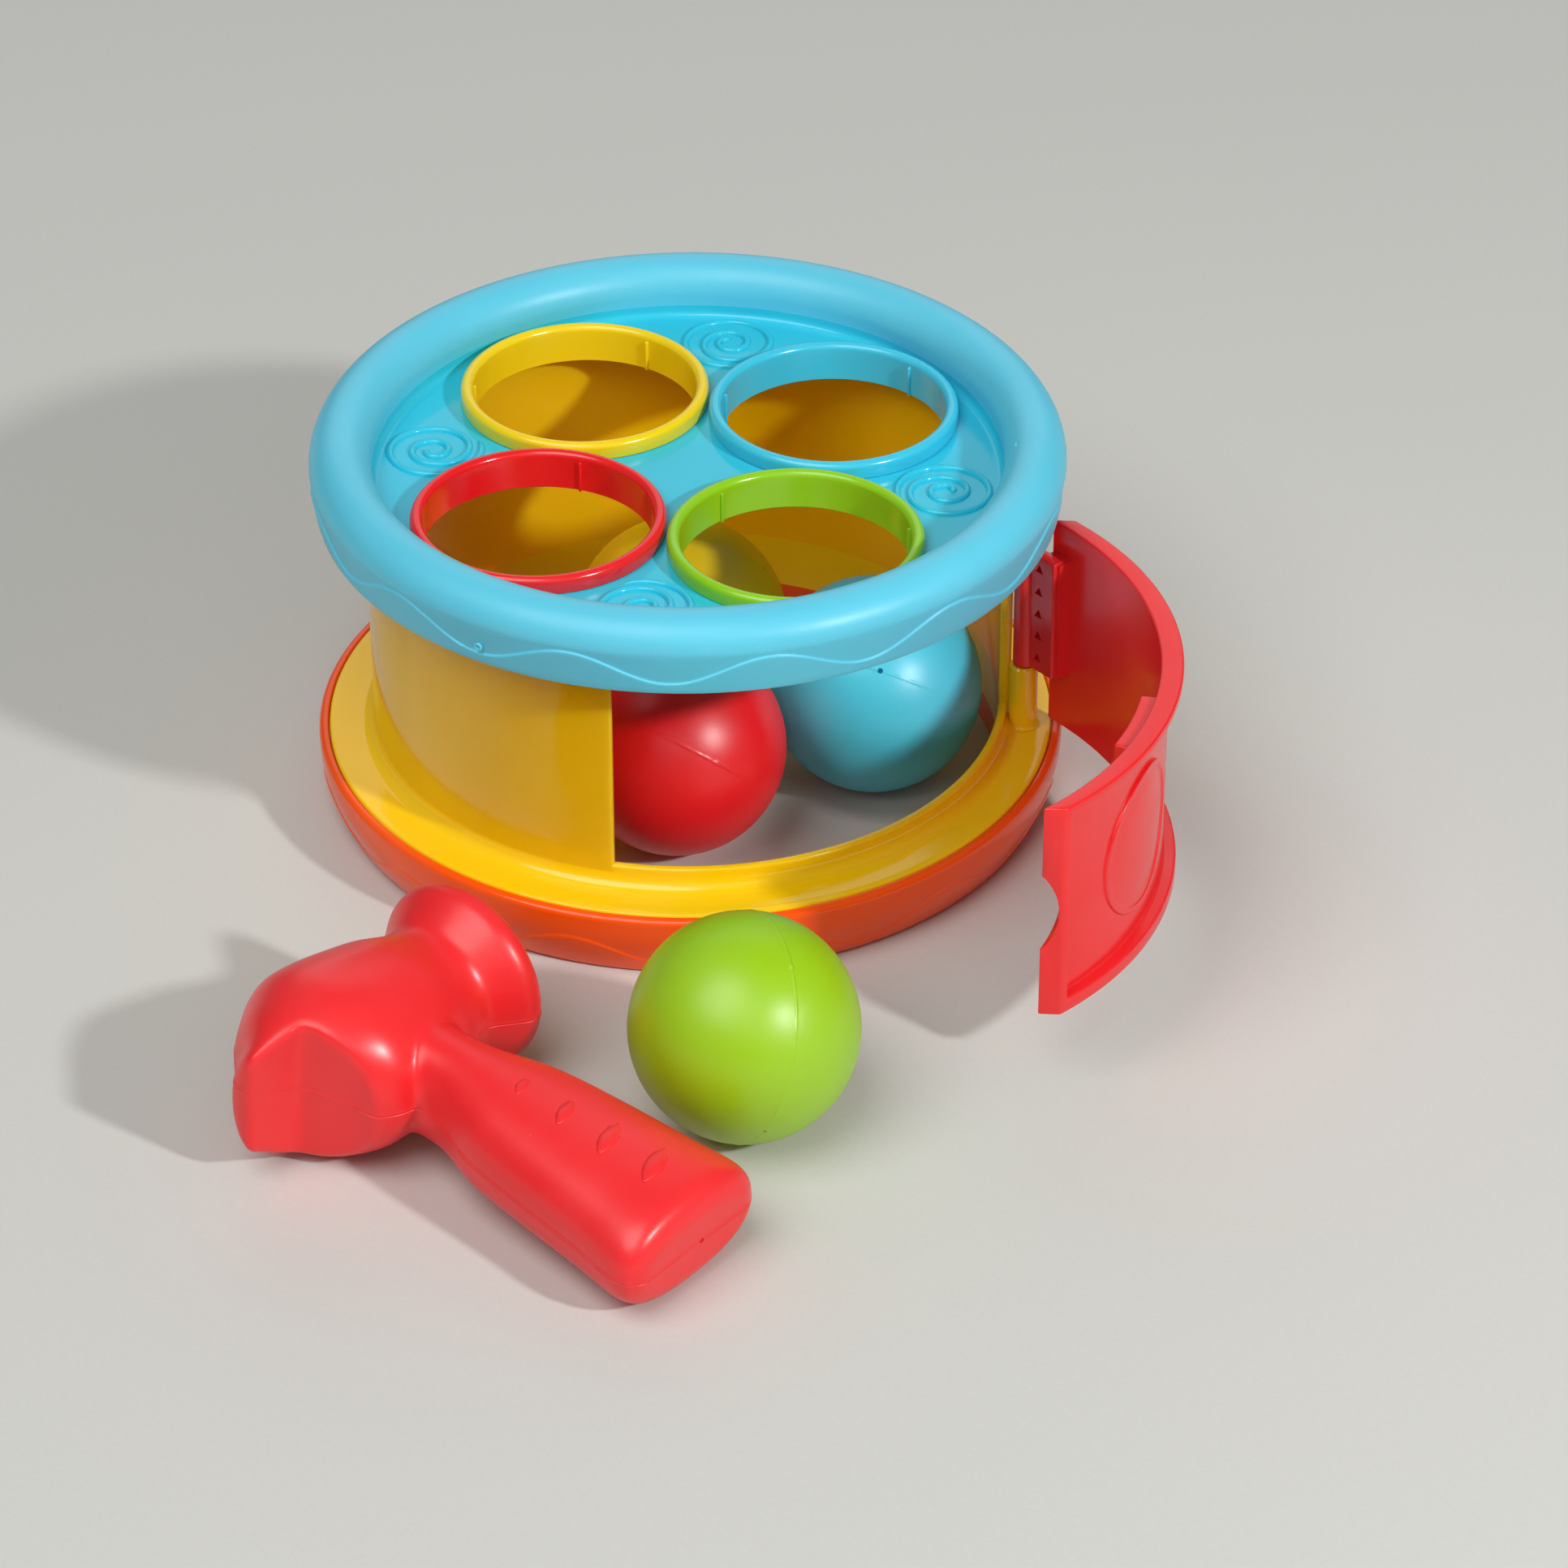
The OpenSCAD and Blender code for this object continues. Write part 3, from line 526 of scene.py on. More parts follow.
def collarRing(name, a, ribTurn):
    k, b, lowZ, topZ = collar, collar["bore"], ringLow.z, ringHigh.z
    s, lip, soft = b + k["sleeve"], (lipR - b) / 2, k["soft"]
    section = ladder((b, lowZ + 0.4), (b, topZ - lip), 4)[:-1]
    section += arc(b + lip, topZ - lip, lip, 180, 0, 16)
    section += [(lipR, deckZ + 0.5), (lipR - 0.12, deckZ + 0.16), (lipR - 0.4, deckZ + k["play"])]
    section += [(s + k["play"], deckZ + k["play"]), (s + k["play"], deckZ - k["clipTop"]),
                (s + k["clipOut"], deckZ - k["clipTop"]), (s, deckZ - k["clipEnd"]), (s, lowZ + soft),
                (s - soft, lowZ), (b + soft, lowZ), (b, lowZ + soft)]
    bm = bmesh.new()
    centre = around(collarC, a)
    spinSection(bm, section, k["steps"], at=centre)
    tidyMesh(bm)
    tall = topZ - lip * 1.2 - lowZ
    for i in range(k["ribs"]):
        rib = bmesh.ops.create_cube(bm, size=1.0)["verts"]
        bmesh.ops.transform(bm, verts=rib, matrix=moved(*centre, lowZ + tall / 2)
                            @ turnedBy(ribTurn + 360 / k["ribs"] * i, "Z")
                            @ moved(b - k["ribHigh"] + k["ribDeep"] / 2, 0, 0)
                            @ sizedTo(k["ribDeep"], k["ribWide"], tall))
        bevelEdges(bm, edgesRound(rib), 0.3, 3)
    return newObject(name, bm)


for node, a, ribTurn, finish, slot in collar["rings"]:
    name = "collar" + node[5:].title()
    finishPiece(collarRing(name, a, ribTurn), "drum", [finishes[finish]], [node])


# drum wall with its doorway, cove and flange

def drumWall():
    d = drum
    top, sillZ, headZ = d["flangeTop"], d["flangeTop"] + d["sill"], wallTop - d["headBand"]
    under, coveR, edge, topEdge = top - d["flangeThick"], d["cove"], d["flangeEdge"], d["topEdge"]
    rows = [sillZ - 1.0] + [sillZ + (headZ - sillZ) * i / d["rows"] for i in range(d["rows"] + 1)]
    section = [(flangeR, top - 1.6)] + arc(flangeR - edge, top - edge, edge, 0, 90, 3)
    section += ladder((flangeR - edge, top), (wallOut + coveR, top), 4)
    section += arc(wallOut + coveR, top + coveR, coveR, -90, -180, 8)[1:]
    section += [(wallOut, z) for z in rows]
    section += [(wallOut, wallTop - topEdge), (wallOut - topEdge, wallTop), (wallIn, wallTop)]
    section += [(wallIn, z) for z in reversed(rows)]
    section += [(wallIn, top), (wallIn, d["foot"]), (wallOut, d["foot"]), (wallOut, under),
                (flangeR - 0.3, under)]
    bm = bmesh.new()
    spinSection(bm, section, 360 // d["step"], start=d["doorFrom"])
    tidyMesh(bm)
    inWay = []
    for face in bm.faces:
        c = face.calc_center_median() / mm
        if sillZ < c.z < headZ and d["doorFrom"] < angleOf(c) < d["doorTo"]:
            inWay.append(face)
    bmesh.ops.delete(bm, geom=inWay, context="FACES")
    brink = [e for e in bm.edges if e.is_boundary]
    bmesh.ops.bridge_loops(bm, edges=brink)
    bmesh.ops.recalc_face_normals(bm, faces=bm.faces)
    strip = []  # bead on the hinge side of the doorway
    for face in bm.faces:
        c = face.calc_center_median() / mm
        beside = abs(angleOf(c) - d["doorTo"] - d["step"] / 2) < 0.3
        if beside and sillZ - 1 < c.z < headZ and hypot(c.x, c.y) > wallOut - 0.1:
            strip.append(face)
    bmesh.ops.inset_region(bm, faces=strip, thickness=d["beadInset"] * mm, depth=d["beadProud"] * mm,
                           use_even_offset=True)
    bevelEdges(bm, [e for e in brink if e.is_valid], d["brinkSoft"], 4)
    for face in bm.faces:  # the upright wall lets some light through, the sill doesn't; the upright wall also gets a more orange yellow than the flange, which is painted shade
        c = face.calc_center_median()
        inDoorway = d["doorFrom"] + 0.1 < angleOf(c) < d["doorTo"] - 0.1
        face.material_index = 1 if c.z / mm > top + coveR - 0.1 and not inDoorway else 0
    return newObject("drumWall", bm)


finishPiece(drumWall(), "drum", [finishes["wallYellow"], finishes["wallThinPaintedShade"]],
            ["drum_wall"], sharp=42)


def wallHinge():  # lower hinge boss on the flange
    b, r, bore, core, top = boss, boss["r"], boss["bore"], boss["core"], drum["flangeTop"]
    topZ, footZ = top + drum["hingeFoot"], top - 1
    section = [(core, footZ), (r + 0.5, footZ), (r + 0.5, top + 0.1)]
    section += arc(r + 0.8, top + 0.9, 0.8, -90, -180, 4)
    section += [(r, topZ - 0.4), (r - 0.4, topZ), (bore + b["edge"], topZ), (bore, topZ - b["edge"]),
                (bore, topZ - b["pinIn"]), (core, topZ - b["pinIn"])]
    bm = bmesh.new()
    spinSection(bm, section, 40, at=(hingeX, hingeY))
    tidyMesh(bm)
    return newObject("wallHinge", bm)


finishPiece(wallHinge(), "drum", [finishes["wallYellow"]])

# base ring: swelling bumper with a faint wave, a foot and screw pockets
base = dict(bumper=2.0, gap=0.2, lean=3.9, wall=2.0, lipZ=15.0, soft=1.3, edge=0.3, waveProud=0.3,
            steps=288, rowsBelow=(1.1, 1.8, 2.6, 3.4, 4.2, 5.0),
            rowsAbove=(7.2, 8.0, 8.8, 9.6, 10.4, 11.2, 12.0, 12.9),
            screwHead=2.6, screwTurns=(45, 135, 225, 315), screwHole=1.5, pocket=2.8, pocketZ=3.2,
            cupWall=1.0, cupFoot=0.6, cupTop=7.0)
baseR = flangeR + base["gap"] + base["bumper"]
swellZ = 0.8 * base["lipZ"]
screwR = (sizeOf("base_screws")[1].x - base["screwHead"]) * sqrt(2)  # they stand on the diagonals


def bumperAt(z):
    return baseR - base["lean"] * (1 - sin(pi / 2 * min(1, max(0, z) / swellZ)))


def baseRing():
    ledge, joint = drum["flangeTop"] - drum["flangeThick"], drum["foot"] - 0.02
    mid, p, w, lip, edge = swellZ / 2, base["waveProud"], base["wall"], base["lipZ"], base["edge"]
    bed = flangeR + base["gap"]
    section = [(wallIn + 0.4, 0), (bumperAt(0) - 1.0, 0), (bumperAt(0) - 0.35, 0.12),
               (bumperAt(0.5) + p * 0.5, 0.5)]
    section += [(bumperAt(z) + p, z) for z in base["rowsBelow"] + (mid - 0.7, mid - 0.3)]
    section += [(bumperAt(mid + up) + out * p, mid + up) for up, out in ((0, 0.75), (0.2, 0.2), (0.5, 0))]
    section += [(bumperAt(z), z) for z in base["rowsAbove"]]
    section += arc(baseR - base["soft"], lip - base["soft"], base["soft"], 0, 90, 8)
    section += [(bed + edge, lip), (bed, lip - edge), (bed, ledge), (flangeR - w, ledge),
                (bumperAt(0) - w, w), (wallIn + w, w), (wallIn + w, joint), (wallIn, joint), (wallIn, 0.4)]
    bm = bmesh.new()
    spinSection(bm, section, base["steps"])
    tidyMesh(bm)
    waveRows(bm, bumperAt, 0.8, mid, swellZ, slack=0.1, firm=1.1)
    obj = newObject("baseRing", bm)
    holes, cups = bmesh.new(), bmesh.new()
    r, z, bore = base["pocket"], base["pocketZ"], base["screwHole"]
    outR, low, high = r + base["cupWall"], base["cupFoot"], base["cupTop"]
    for a in base["screwTurns"]:
        at = around(screwR, a)
        spinSection(holes, [(0.05, -1), (r, -1), (r, z), (0.05, z)], 40, at=at)
        spinSection(cups, [(r, low), (outR, low), (outR, high), (bore, high), (bore, z), (r, z)], 40, at=at)
    cutWith(obj, holes)
    tidyMesh(cups)
    cup = newObject("screwPockets", cups)
    finishPiece(cup, "drum", [finishes["baseOrange"]])
    return obj


finishPiece(baseRing(), "drum", [finishes["baseOrange"]], ["base_ring"], sharp=45)

# door: drawn flat as a tray with a rim, then bent over its curve and swung open on the hinge
door = dict(deep=4.6, panel=1.8, borderTop=1.9, borderFoot=3.2, borderEnd=1.5, curve=flangeR - 2.6,
            halfTurn=46, gap=1.5, head=3.0, soft=0.5, slice=1.5,
            scoopTall=18.0, scoopLeft=0.8, scoopSoft=0.25,
            tabLong=19.5, tabTall=6.0, tabDeep=3.2, tabDown=1.2, tabTurn=16.0,
            ovalWide=29.0, ovalTall=32.0, ovalTurn=20.5, ovalSink=0.3, ovalHigh=0.9, ovalSlice=0.68,
            ovalSteps=((0.35, 0.0), (0.9, 0.0), (0.35, -0.38), (1.2, 0.10), (2.0, 0.16), (2.6, 0.12),
                       (2.8, 0.06)),
            tongueTurn=7.4, tongueIn=0.9, tongueOut=2.1, webOut=0.6, pin=1.6, barrel=2.4, play=0.2,
            pockets=5, pocketStep=5.4, pocketFoot=3.2, pocketR=(1.5, 1.15), pocketDeep=4.0)
doorHalf = door["curve"] * sin(radians(door["halfTurn"]))
doorZ0, doorZ1 = drum["flangeTop"] + door["gap"], skirtZ - door["head"]
doorMid = (doorZ0 + doorZ1) / 2
swing = moved(hingeX, hingeY, 0) @ turnedBy(doorOpen, "Z") @ moved(-hingeX, -hingeY, 0)


def bendDoor(bm):  # flat x, depth and z become the curved door
    for v in bm.verts:
        x, depth = v.co.x / mm, -v.co.y / mm
        v.co.y = (-sqrt(door["curve"] ** 2 - x * x) - depth) * mm


def doorPanel():
    d = door
    bm = bmesh.new()
    block = bmesh.ops.create_cube(bm, size=1.0)["verts"]
    bmesh.ops.transform(bm, verts=block, matrix=moved(0, -d["deep"] / 2, doorMid)
                        @ sizedTo(2 * doorHalf, d["deep"], doorZ1 - doorZ0))
    front = max(bm.faces, key=lambda f: -f.calc_center_median().y)
    bmesh.ops.inset_region(bm, faces=[front], thickness=d["borderEnd"] * mm, use_even_offset=True)
    for v in front.verts:
        low = v.co.z < doorMid * mm
        v.co.z += (d["borderFoot"] - d["borderEnd"] if low else d["borderEnd"] - d["borderTop"]) * mm
    bmesh.ops.inset_region(bm, faces=[front], thickness=0.2 * mm, depth=-(d["deep"] - d["panel"]) * mm,
                           use_even_offset=True)
    bm.normal_update()
    bevelEdges(bm, sharpEdges(bm, 50), d["soft"], 4)
    x = -doorHalf + 1.2
    while x < doorHalf - 1.0:
        sliceAt(bm, x)
        x += d["slice"]
    bendDoor(bm)
    bmesh.ops.recalc_face_normals(bm, faces=bm.faces)
    obj = newObject("doorPanel", bm)
    # finger scoop in the free end, from inside
    dip = d["deep"] - d["scoopLeft"]
    r = (d["scoopTall"] ** 2 / 4 + dip ** 2) / (2 * dip)
    scoopY = -sqrt(d["curve"] ** 2 - doorHalf ** 2) - dip + r
    scoop = bmesh.new()
    bmesh.ops.create_cone(scoop, cap_ends=True, segments=160, radius1=r * mm, radius2=r * mm, depth=12 * mm,
                          matrix=moved(-doorHalf, scoopY, doorMid) @ turnedBy(90, "Y"))
    cutWith(obj, scoop)
    bm = bmesh.new()
    bm.from_mesh(obj.data)
    rim = []
    for e in sharpEdges(bm, 30):
        far = [abs(hypot(v.co.y - scoopY * mm, v.co.z - doorMid * mm) - r * mm) for v in e.verts]
        if max(far) < 2e-6:
            rim.append(e)
    bevelEdges(bm, rim, d["scoopSoft"], 2)
    bmesh.ops.transform(bm, verts=bm.verts, matrix=swing)
    bm.to_mesh(obj.data)
    bm.free()
    return obj


finishPiece(doorPanel(), "door", [finishes["doorRed"]], ["door"], sharp=45)


def doorOval():  # plain raised oval with a bead round it
    d = door
    bm = bmesh.new()
    ring = bmesh.ops.create_circle(bm, cap_ends=True, segments=72, radius=1.0)["verts"]
    x0 = -d["curve"] * sin(radians(d["ovalTurn"]))
    place = moved(x0, d["ovalSink"] - d["panel"], doorMid) @ turnedBy(90, "X")
    bmesh.ops.transform(bm, verts=ring, matrix=place @ sizedTo(d["ovalWide"] / 2, d["ovalTall"] / 2, 1))
    face = bm.faces[:][0]
    bmesh.ops.recalc_face_normals(bm, faces=[face])
    if face.normal.y > 0:
        face.normal_flip()
    grown = bmesh.ops.extrude_face_region(bm, geom=[face])["geom"]
    bmesh.ops.translate(bm, vec=(0, -d["ovalHigh"] * mm, 0), verts=vertsOf(grown))
    top = [g for g in grown if isinstance(g, bmesh.types.BMFace)][0]
    for thick, deep in d["ovalSteps"]:
        bmesh.ops.inset_region(bm, faces=[top], thickness=thick * mm, depth=deep * mm, use_even_offset=True)
    bm.normal_update()
    bevelEdges(bm, sharpEdges(bm, 35), 0.18, 2)
    for i in range(-20, 21):
        sliceAt(bm, x0 + i * d["ovalSlice"])
    bendDoor(bm)
    bmesh.ops.recalc_face_normals(bm, faces=bm.faces)
    bmesh.ops.transform(bm, verts=bm.verts, matrix=swing)
    return newObject("doorOval", bm)


finishPiece(doorOval(), "door", [finishes["doorRed"]], sharp=45)


def doorHinge():  # tongue with a row of small pockets, web, barrel, pins and the latch tab
    d = door
    hingeC, edge = hypot(hingeX, hingeY), degrees(atan2(hingeY, hingeX))
    root = edge - d["tongueTurn"]
    z0, z1 = drum["flangeTop"] + drum["hingeFoot"] + drum["hingePlay"], pinTop - boss["pinLong"]
    plateZ = z0 + 2 * d["pocketFoot"] + (d["pockets"] - 1) * d["pocketStep"]
    r0, r1 = hingeC - d["tongueIn"], hingeC + d["tongueOut"]
    bm = bmesh.new()
    spinSection(bm, [(r0, z0), (r1, z0), (r1, plateZ), (r0, plateZ)], 8, start=root, sweep=d["tongueTurn"])
    tidyMesh(bm)
    bevelEdges(bm, sharpEdges(bm, 60), 0.4, 3)
    obj = newObject("doorHinge", bm)
    holes = bmesh.new()
    wide, narrow = d["pocketR"]
    for i in range(d["pockets"]):
        cone = bmesh.ops.create_cone(holes, cap_ends=True, segments=3, radius1=wide * mm,
                                     radius2=narrow * mm, depth=d["pocketDeep"] * mm)["verts"]
        place = turnedBy((root + edge) / 2, "Z") @ moved(r0, 0, z0 + d["pocketFoot"] + i * d["pocketStep"])
        bmesh.ops.transform(holes, verts=cone, matrix=place @ turnedBy(90, "Y") @ turnedBy(90, "Z"))
    cutWith(obj, holes)
    rest = bmesh.new()
    rest.from_mesh(obj.data)
    web, webLow, webTop = d["curve"] + d["panel"] / 2, z0 + 0.2, plateZ - 0.2
    spinSection(rest, [(hingeC, webLow), (web, webLow), (web, webTop), (hingeC, webTop)], 5,
                start=root - d["webOut"], sweep=d["tongueTurn"] / 2 + d["webOut"])
    pin, barrel, play, long = d["pin"], d["barrel"], d["play"], boss["pinLong"]
    lower = [(0.05, z0 - long), (pin - 0.4, z0 - long), (pin, z0 - long + 0.4), (pin, z0 - play),
             (barrel - 0.25, z0 - play), (barrel, z0)]
    upper = [(barrel, z1), (barrel - 0.25, z1 + play), (pin, z1 + play), (pin, z1 + long - 0.4),
             (pin - 0.4, z1 + long), (0.05, z1 + long)]
    spinSection(rest, lower + upper, 32, at=(hingeX, hingeY))
    tab = bmesh.new()
    tabSweep = degrees(d["tabLong"] / d["curve"])
    top = doorZ1 - d["tabDown"]
    low, inner = top - d["tabTall"], d["curve"] - d["tabDeep"]
    spinSection(tab, [(inner, low), (web, low), (web, top), (inner, top)], 10,
                start=-90 - d["tabTurn"] - tabSweep / 2, sweep=tabSweep)
    tidyMesh(tab)
    bevelEdges(tab, sharpEdges(tab, 60), 0.5, 4)
    tidyMesh(rest)
    joinInto(rest, tab)
    bmesh.ops.transform(rest, verts=rest.verts, matrix=swing)
    rest.to_mesh(obj.data)
    rest.free()
    return obj


finishPiece(doorHinge(), "door", [finishes["doorRed"]], sharp=35)

# balls: blow moulded, with a parting line whose flash swells round the blow point
# seam: the blow point and one more point of the parting line, seen from the ball's middle
# pits: degrees along the seam from the blow point, and radius
balls = dict(
    ball_red=dict(seam=((-0.206, -0.901, 0.382), (-0.619, -0.411, 0.669)), flash=0.20, pits=(),
                  finish="ballRed", slot="red_plastic"),
    ball_blue=dict(seam=((-0.417, -0.648, 0.637), (-0.001, -0.916, 0.402)), flash=0.20, pits=((0, 0.8),),
                   finish="ballBlue", slot="blue_plastic"),
    ball_yellow=dict(seam=((0.6, -0.5, 0.62), (-0.5, 0.2, 0.84)), flash=0.18, pits=((0, 0.6),),
                     finish="ballYellow", slot="yellow_plastic"),
    ball_green=dict(seam=((0.129, -0.505, 0.854), (-0.154, -0.923, 0.353)), flash=0.34, pits=((91, 0.5),),
                    finish="ballGreen", slot="green_plastic"))
flashRows = (-0.5, -0.3, -0.12, 0.12, 0.3, 0.5)
blowWide = 5.0


def ballPiece(node, seam, flash, pits):
    low, high = sizeOf(node)
    pole, second = (Vector(s).normalized() for s in seam)
    side = pole.cross(second).normalized()  # the parting plane holds both points
    turn = Matrix((side, pole.cross(side), pole)).transposed().to_4x4()  # x is its normal, z the blow point
    bm = bmesh.new()
    bmesh.ops.create_uvsphere(bm, u_segments=128, v_segments=80, radius=(ballR - flash) * mm)
    for x in flashRows:
        sliceAt(bm, x)
    for v in bm.verts:
        x, way = abs(v.co.x / mm), v.co.normalized()
        along = atan2(v.co.y, v.co.z)
        ripple = 0.5 + 0.5 * sin(along * 9 + 1.3 * sin(along * 23))
        blow = exp(-(ballR * along / blowWide) ** 2) * (0.6 + 0.4 * sin(along * 60))
        swell = 0.35 * ripple + 0.65 * blow
        v.co += way * flash * swell * mm * (1 if x < 0.13 else 0.45 if x < 0.32 else 0)
    bmesh.ops.recalc_face_normals(bm, faces=bm.faces)
    obj = newObject(node[:5].replace("_", "") + node[5:].title(), bm)
    for along, r in pits:
        drill = bmesh.new()
        bmesh.ops.create_cone(drill, cap_ends=True, segments=24, radius1=0.5 * r * mm, radius2=r * mm,
                              depth=4 * mm, matrix=turnedBy(along, "X") @ moved(0, 0, ballR))
        cutWith(obj, drill)
    obj.data.transform(Matrix.Translation((low + high) / 2 * mm) @ turn)
    return obj


for node, about in balls.items():
    finishPiece(ballPiece(node, about["seam"], about["flash"], about["pits"]), node,
                [finishes[about["finish"]]], [node], sharp=70)

# hammer: head and handle swept, notched, melted together and smoothed like a blow moulding
hammer = dict(faceX=30.0, faceR=19.3, neckR=14.4, headW=20.9, headH=18.8, headSteps=100, sides=80,
              clawX=31.8, clawW=7.0, clawH=13.0, clawY=1.2, crease=(-20.8, -1.4),
              notch=((-34.0, -26.0), (-15.6, -26.0), (-17.2, -13.0)), notchHalf=25,
              gripLong=84.0, gripRoot=8.4, gripButt=18.8, gripH=11.4, gripBend=0.9, gripSquare=0.84,
              gripSteps=90, gripTall=((0, 1.0), (0.7, 1.06), (0.94, 1.0), (0.975, 0.92), (1, 0.62)),
              nubs=((-0.9, -39.4, 2.6, 1.0), (-0.9, -50.3, 3.8, 1.4), (-0.7, -61.0, 4.8, 1.7),
                    (-0.1, -71.8, 5.3, 1.9)),
              nubTurn=18, nubSink=0.15, nubFlat=0.42, buttHole=(0.5, -84.0, 0.0), holeR=(0.75, 0.4),
              voxel=0.6, soften=28, ridge=0.10, ridgeRise=3.0, ridgeStep=0.6,
              ridgeRows=(-0.75, -0.55, -0.35, -0.12, 0.12, 0.35, 0.55, 0.75), turn=14.2)


def hammerHead():
    h = hammer
    tip, w, t = -h["clawX"], h["clawW"], h["clawH"]
    face = [(17.2, h["neckR"]), (18.6, h["neckR"] + 0.1), (21.0, 16.0), (24.2, 18.2), (26.2, h["faceR"]),
            (28.2, h["faceR"]), (29.4, 18.6), (h["faceX"], 17.2)]
    wide = [(tip, 0.62 * w), (tip + 0.8, 0.86 * w), (-29.2, w), (-20.55, 0.735 * h["headW"]),
            (-9.5, h["headW"]), (6.0, 18.2)] + face
    tall = [(tip, 0.8 * t), (tip + 0.8, 0.93 * t), (-29.2, t), (-20.55, 0.885 * h["headH"]),
            (-9.5, h["headH"]), (6.0, 17.2)] + face
    middle = [(tip, h["clawY"]), (17.2, 0.0), (h["faceX"], 0.0)]
    bm = bmesh.new()
    places = []
    for i in range(h["headSteps"] + 1):
        x = tip + (h["clawX"] + h["faceX"]) * i / h["headSteps"]
        places.append(moved(x, alongCurve(middle, x), 0) @ turnedBy(-90, "Z")
                      @ sizedTo(alongCurve(wide, x), 1, alongCurve(tall, x)))
    sweepRing(bm, ringAt(bm, places[0], h["sides"]), places)
    tidyMesh(bm)
    obj = newObject("hammerBody", bm)
    notch = bmesh.new()
    cx, cy = h["crease"]
    outline = ((cx, cy), (h["notch"][0][0], h["clawY"] - cy)) + h["notch"]
    half = h["notchHalf"]
    sheet = notch.faces.new([notch.verts.new((x * mm, y * mm, -half * mm)) for x, y in outline])
    prism = bmesh.ops.extrude_face_region(notch, geom=[sheet])["geom"]
    bmesh.ops.translate(notch, vec=(0, 0, 2 * half * mm), verts=vertsOf(prism))
    cutWith(obj, notch)
    return obj


def hammerGrip():
    h = hammer
    root, butt = h["gripRoot"], h["gripButt"]
    grow = butt - root
    wide = [(0, root), (0.26, root), (0.47, root + 0.55 * grow), (0.83, root + 0.88 * grow), (0.94, butt),
            (0.975, 0.965 * butt), (1, 0.82 * butt)]
    bend = [(0, -1), (0.5, 0), (1, -0.8)]
    bm = bmesh.new()
    places = []
    for i in range(h["gripSteps"] + 1):
        s = i / h["gripSteps"]
        places.append(moved(h["gripBend"] * alongCurve(bend, s), -s * h["gripLong"], 0) @ turnedBy(180, "Z")
                      @ sizedTo(alongCurve(wide, s), 1, h["gripH"] * alongCurve(h["gripTall"], s)))
    sweepRing(bm, ringAt(bm, places[0], h["sides"], squared=h["gripSquare"]), places)
    tidyMesh(bm)
    return bm


def gripNubs():  # low lens shaped nubs with pointed ends
    h = hammer
    bm = bmesh.new()
    for x, y, half, deep in h["nubs"]:
        lens = bmesh.new()
        r = (half * half + deep * deep) / (2 * deep)
        turns = [asin(half / r) * k / 10 for k in range(-10, 11)]
        verts = [lens.verts.new((r * sin(t) * mm, 0, (r * cos(t) - r + deep) * mm)) for t in turns]
        edges = [lens.edges.new(p) for p in zip(verts, verts[1:])]
        bmesh.ops.spin(lens, geom=verts + edges, cent=(0, 0, 0), axis=(1, 0, 0), angle=2 * pi, steps=28,
                       use_merge=True)
        tidyMesh(lens)
        top = h["gripH"] * alongCurve(h["gripTall"], -y / h["gripLong"])
        bmesh.ops.transform(lens, verts=lens.verts, matrix=moved(x, y, top - h["nubSink"])
                            @ turnedBy(h["nubTurn"], "Z") @ Matrix.Diagonal((1, 1, h["nubFlat"], 1)))
        joinInto(bm, lens)
    return bm


def partingRidge(bm):  # two fine ridges all round, which rise towards the claw's tip
    h = hammer
    cx = h["crease"][0]
    bendAt = Vector((cx, 0, h["ridgeStep"])) * mm
    clawUp = Vector((h["ridgeRise"], 0, h["clawX"] + cx)).normalized()
    for claw in (False, True):
        start, flat = (bendAt, clawUp) if claw else (Vector((cx, 0, 0)) * mm, upAxis)
        for shift in h["ridgeRows"]:
            part = [f for f in bm.faces if (f.calc_center_median().x / mm < cx) == claw]
            corners, sides = {v for f in part for v in f.verts}, {e for f in part for e in f.edges}
            bmesh.ops.bisect_plane(bm, geom=list(corners) + list(sides) + part,
                                   plane_co=start + flat * shift * mm, plane_no=flat)
    bm.normal_update()
    for v in bm.verts:
        off = ((v.co - bendAt).dot(clawUp) if v.co.x / mm < cx else v.co.z) / mm
        if 0.3 < abs(off) < 0.4:
            v.co += v.normal * h["ridge"] * mm


def hammerPiece():
    h = hammer
    obj = hammerHead()
    cutWith(obj, hammerGrip(), "UNION")
    melt = obj.modifiers.new("melt", "REMESH")
    melt.mode, melt.voxel_size = "VOXEL", h["voxel"] * mm
    soft = obj.modifiers.new("soft", "SMOOTH")
    soft.factor, soft.iterations = 0.5, h["soften"]
    applyModifiers(obj)
    bm = bmesh.new()
    bm.from_mesh(obj.data)
    partingRidge(bm)
    bm.to_mesh(obj.data)
    bm.free()
    cutWith(obj, gripNubs(), "UNION")
    drill = bmesh.new()
    wide, narrow = h["holeR"]
    bmesh.ops.create_cone(drill, cap_ends=True, segments=20, radius1=wide * mm, radius2=narrow * mm,
                          depth=5 * mm, matrix=moved(*h["buttHole"]) @ turnedBy(-90, "X"))
    cutWith(obj, drill)
    # laid on its side: it rests on the face's rim and near the butt
    bm = bmesh.new()
    bm.from_mesh(obj.data)
    tilt = asin((h["faceR"] - h["gripH"]) / (0.95 * h["gripLong"]))
    bmesh.ops.transform(bm, verts=bm.verts, matrix=turnedBy(h["turn"], "Z") @ Matrix.Rotation(tilt, 4, "X"))
    low, high = sizeOf("hammer")
    lowest = Vector([min(v.co[k] for v in bm.verts) for k in range(3)])
    highest = Vector([max(v.co[k] for v in bm.verts) for k in range(3)])
    move = (low + high) / 2 * mm - (lowest + highest) / 2
    move.z = low.z * mm - lowest.z
    bmesh.ops.translate(bm, vec=move, verts=bm.verts)
    bm.to_mesh(obj.data)
    bm.free()
    return obj


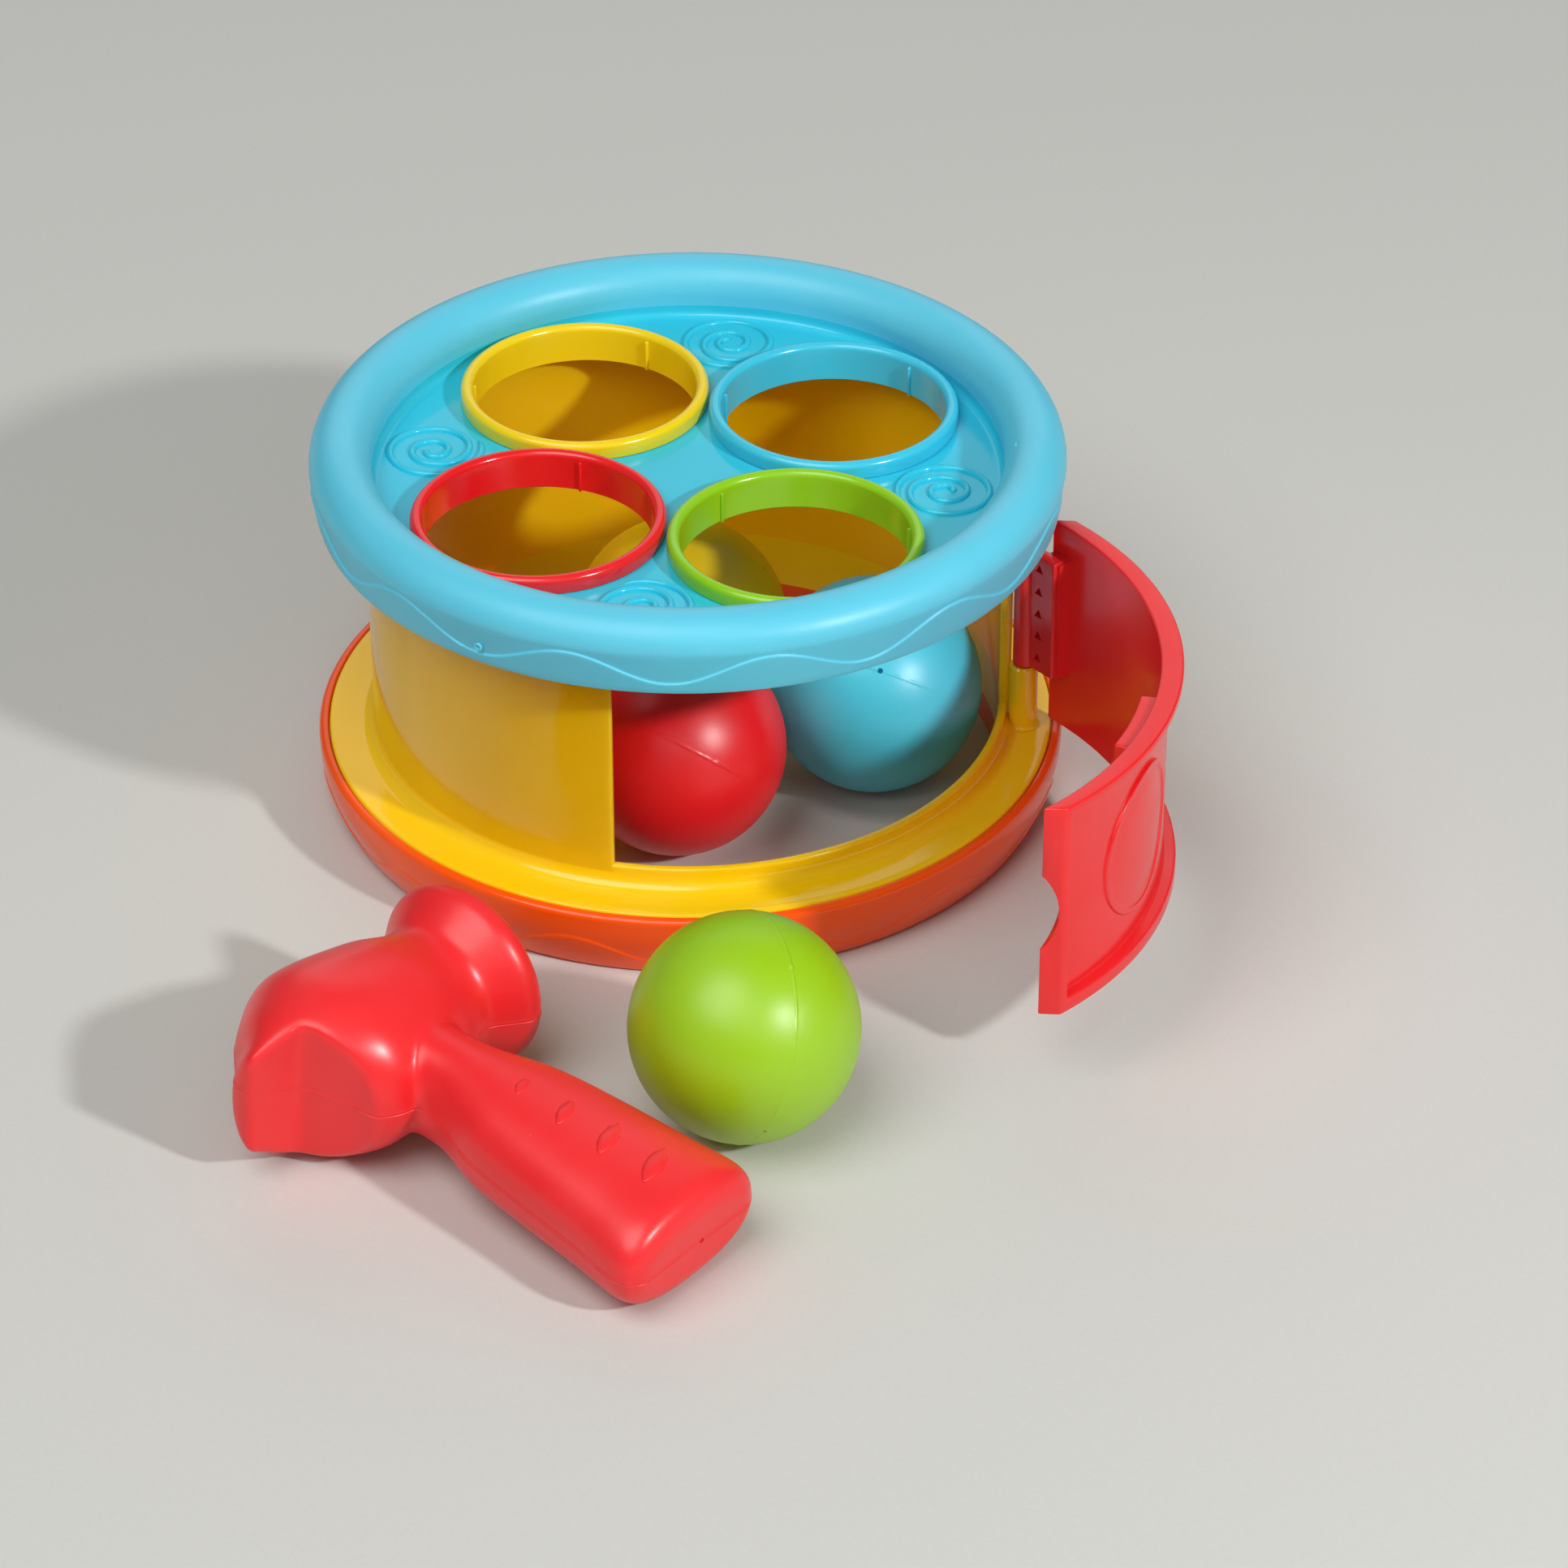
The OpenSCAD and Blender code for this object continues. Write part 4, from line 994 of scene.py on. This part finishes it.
finishPiece(hammerPiece(), "hammer", [finishes["hammerRed"]], ["hammer"], sharp=75)


# floor, light and camera
studio = dict(floor=(208, 208, 203), floorHalf=4.0, floorGrain=900.0, floorSpread=0.03, floorDull=0.75,
              world=0.13, camera=(-0.5973, -0.8467, 0.6965), turn=(55.92, 0, -36.29), lens=134.85,
              sensor=36.0, near=0.05,
              lamps=dict(key=dict(way=(0.176, -0.8145, 0.553), far=1.756, size=0.12, power=16.0),
                         box=dict(way=(-0.50, -0.15, 0.853), far=2.6, size=2.0, power=36.0),
                         front=dict(way=(-0.40, -0.62, 0.68), far=2.4, size=1.6, power=4.5),
                         back=dict(way=(0.52, 0.72, 0.46), far=3.0, size=2.6, power=12.0)))


def floorPiece():
    bm = bmesh.new()
    bmesh.ops.create_grid(bm, x_segments=8, y_segments=8, size=studio["floorHalf"])
    obj = newObject("tableTop", bm)
    tone, spread = linear(studio["floor"]), studio["floorSpread"]
    mat, shader = noisedFinish("paleTable", studio["floorGrain"], paled(tone, 1 - spread, 0),
                               paled(tone, 1 + spread, 0))[:2]
    shader.inputs["Roughness"].default_value = studio["floorDull"]
    obj.data.materials.append(mat)


floorPiece()

world = bpy.data.worlds.new("studioWorld")
scene.world = world
world.use_nodes = True
sky = world.node_tree.nodes["Background"]
sky.inputs["Color"].default_value = (1.0, 1.0, 1.0, 1)
sky.inputs["Strength"].default_value = studio["world"]

for name, about in studio["lamps"].items():
    lamp = bpy.data.lights.new(name + "Light", "AREA")
    lamp.shape, lamp.size, lamp.energy = "DISK", about["size"], about["power"]
    lampObj = bpy.data.objects.new(name + "Light", lamp)
    way = Vector(about["way"]).normalized()
    lampObj.location = way * about["far"]
    lampObj.rotation_euler = way.to_track_quat("Z", "Y").to_euler()
    scene.collection.objects.link(lampObj)

cam = bpy.data.cameras.new("photoCamera")
cam.lens, cam.sensor_width, cam.clip_start = studio["lens"], studio["sensor"], studio["near"]
camObj = bpy.data.objects.new("photoCamera", cam)
camObj.location = studio["camera"]
camObj.rotation_euler = [radians(a) for a in studio["turn"]]
scene.collection.objects.link(camObj)
scene.camera = camObj
scene.view_settings.view_transform = "Standard"
print("stage set")
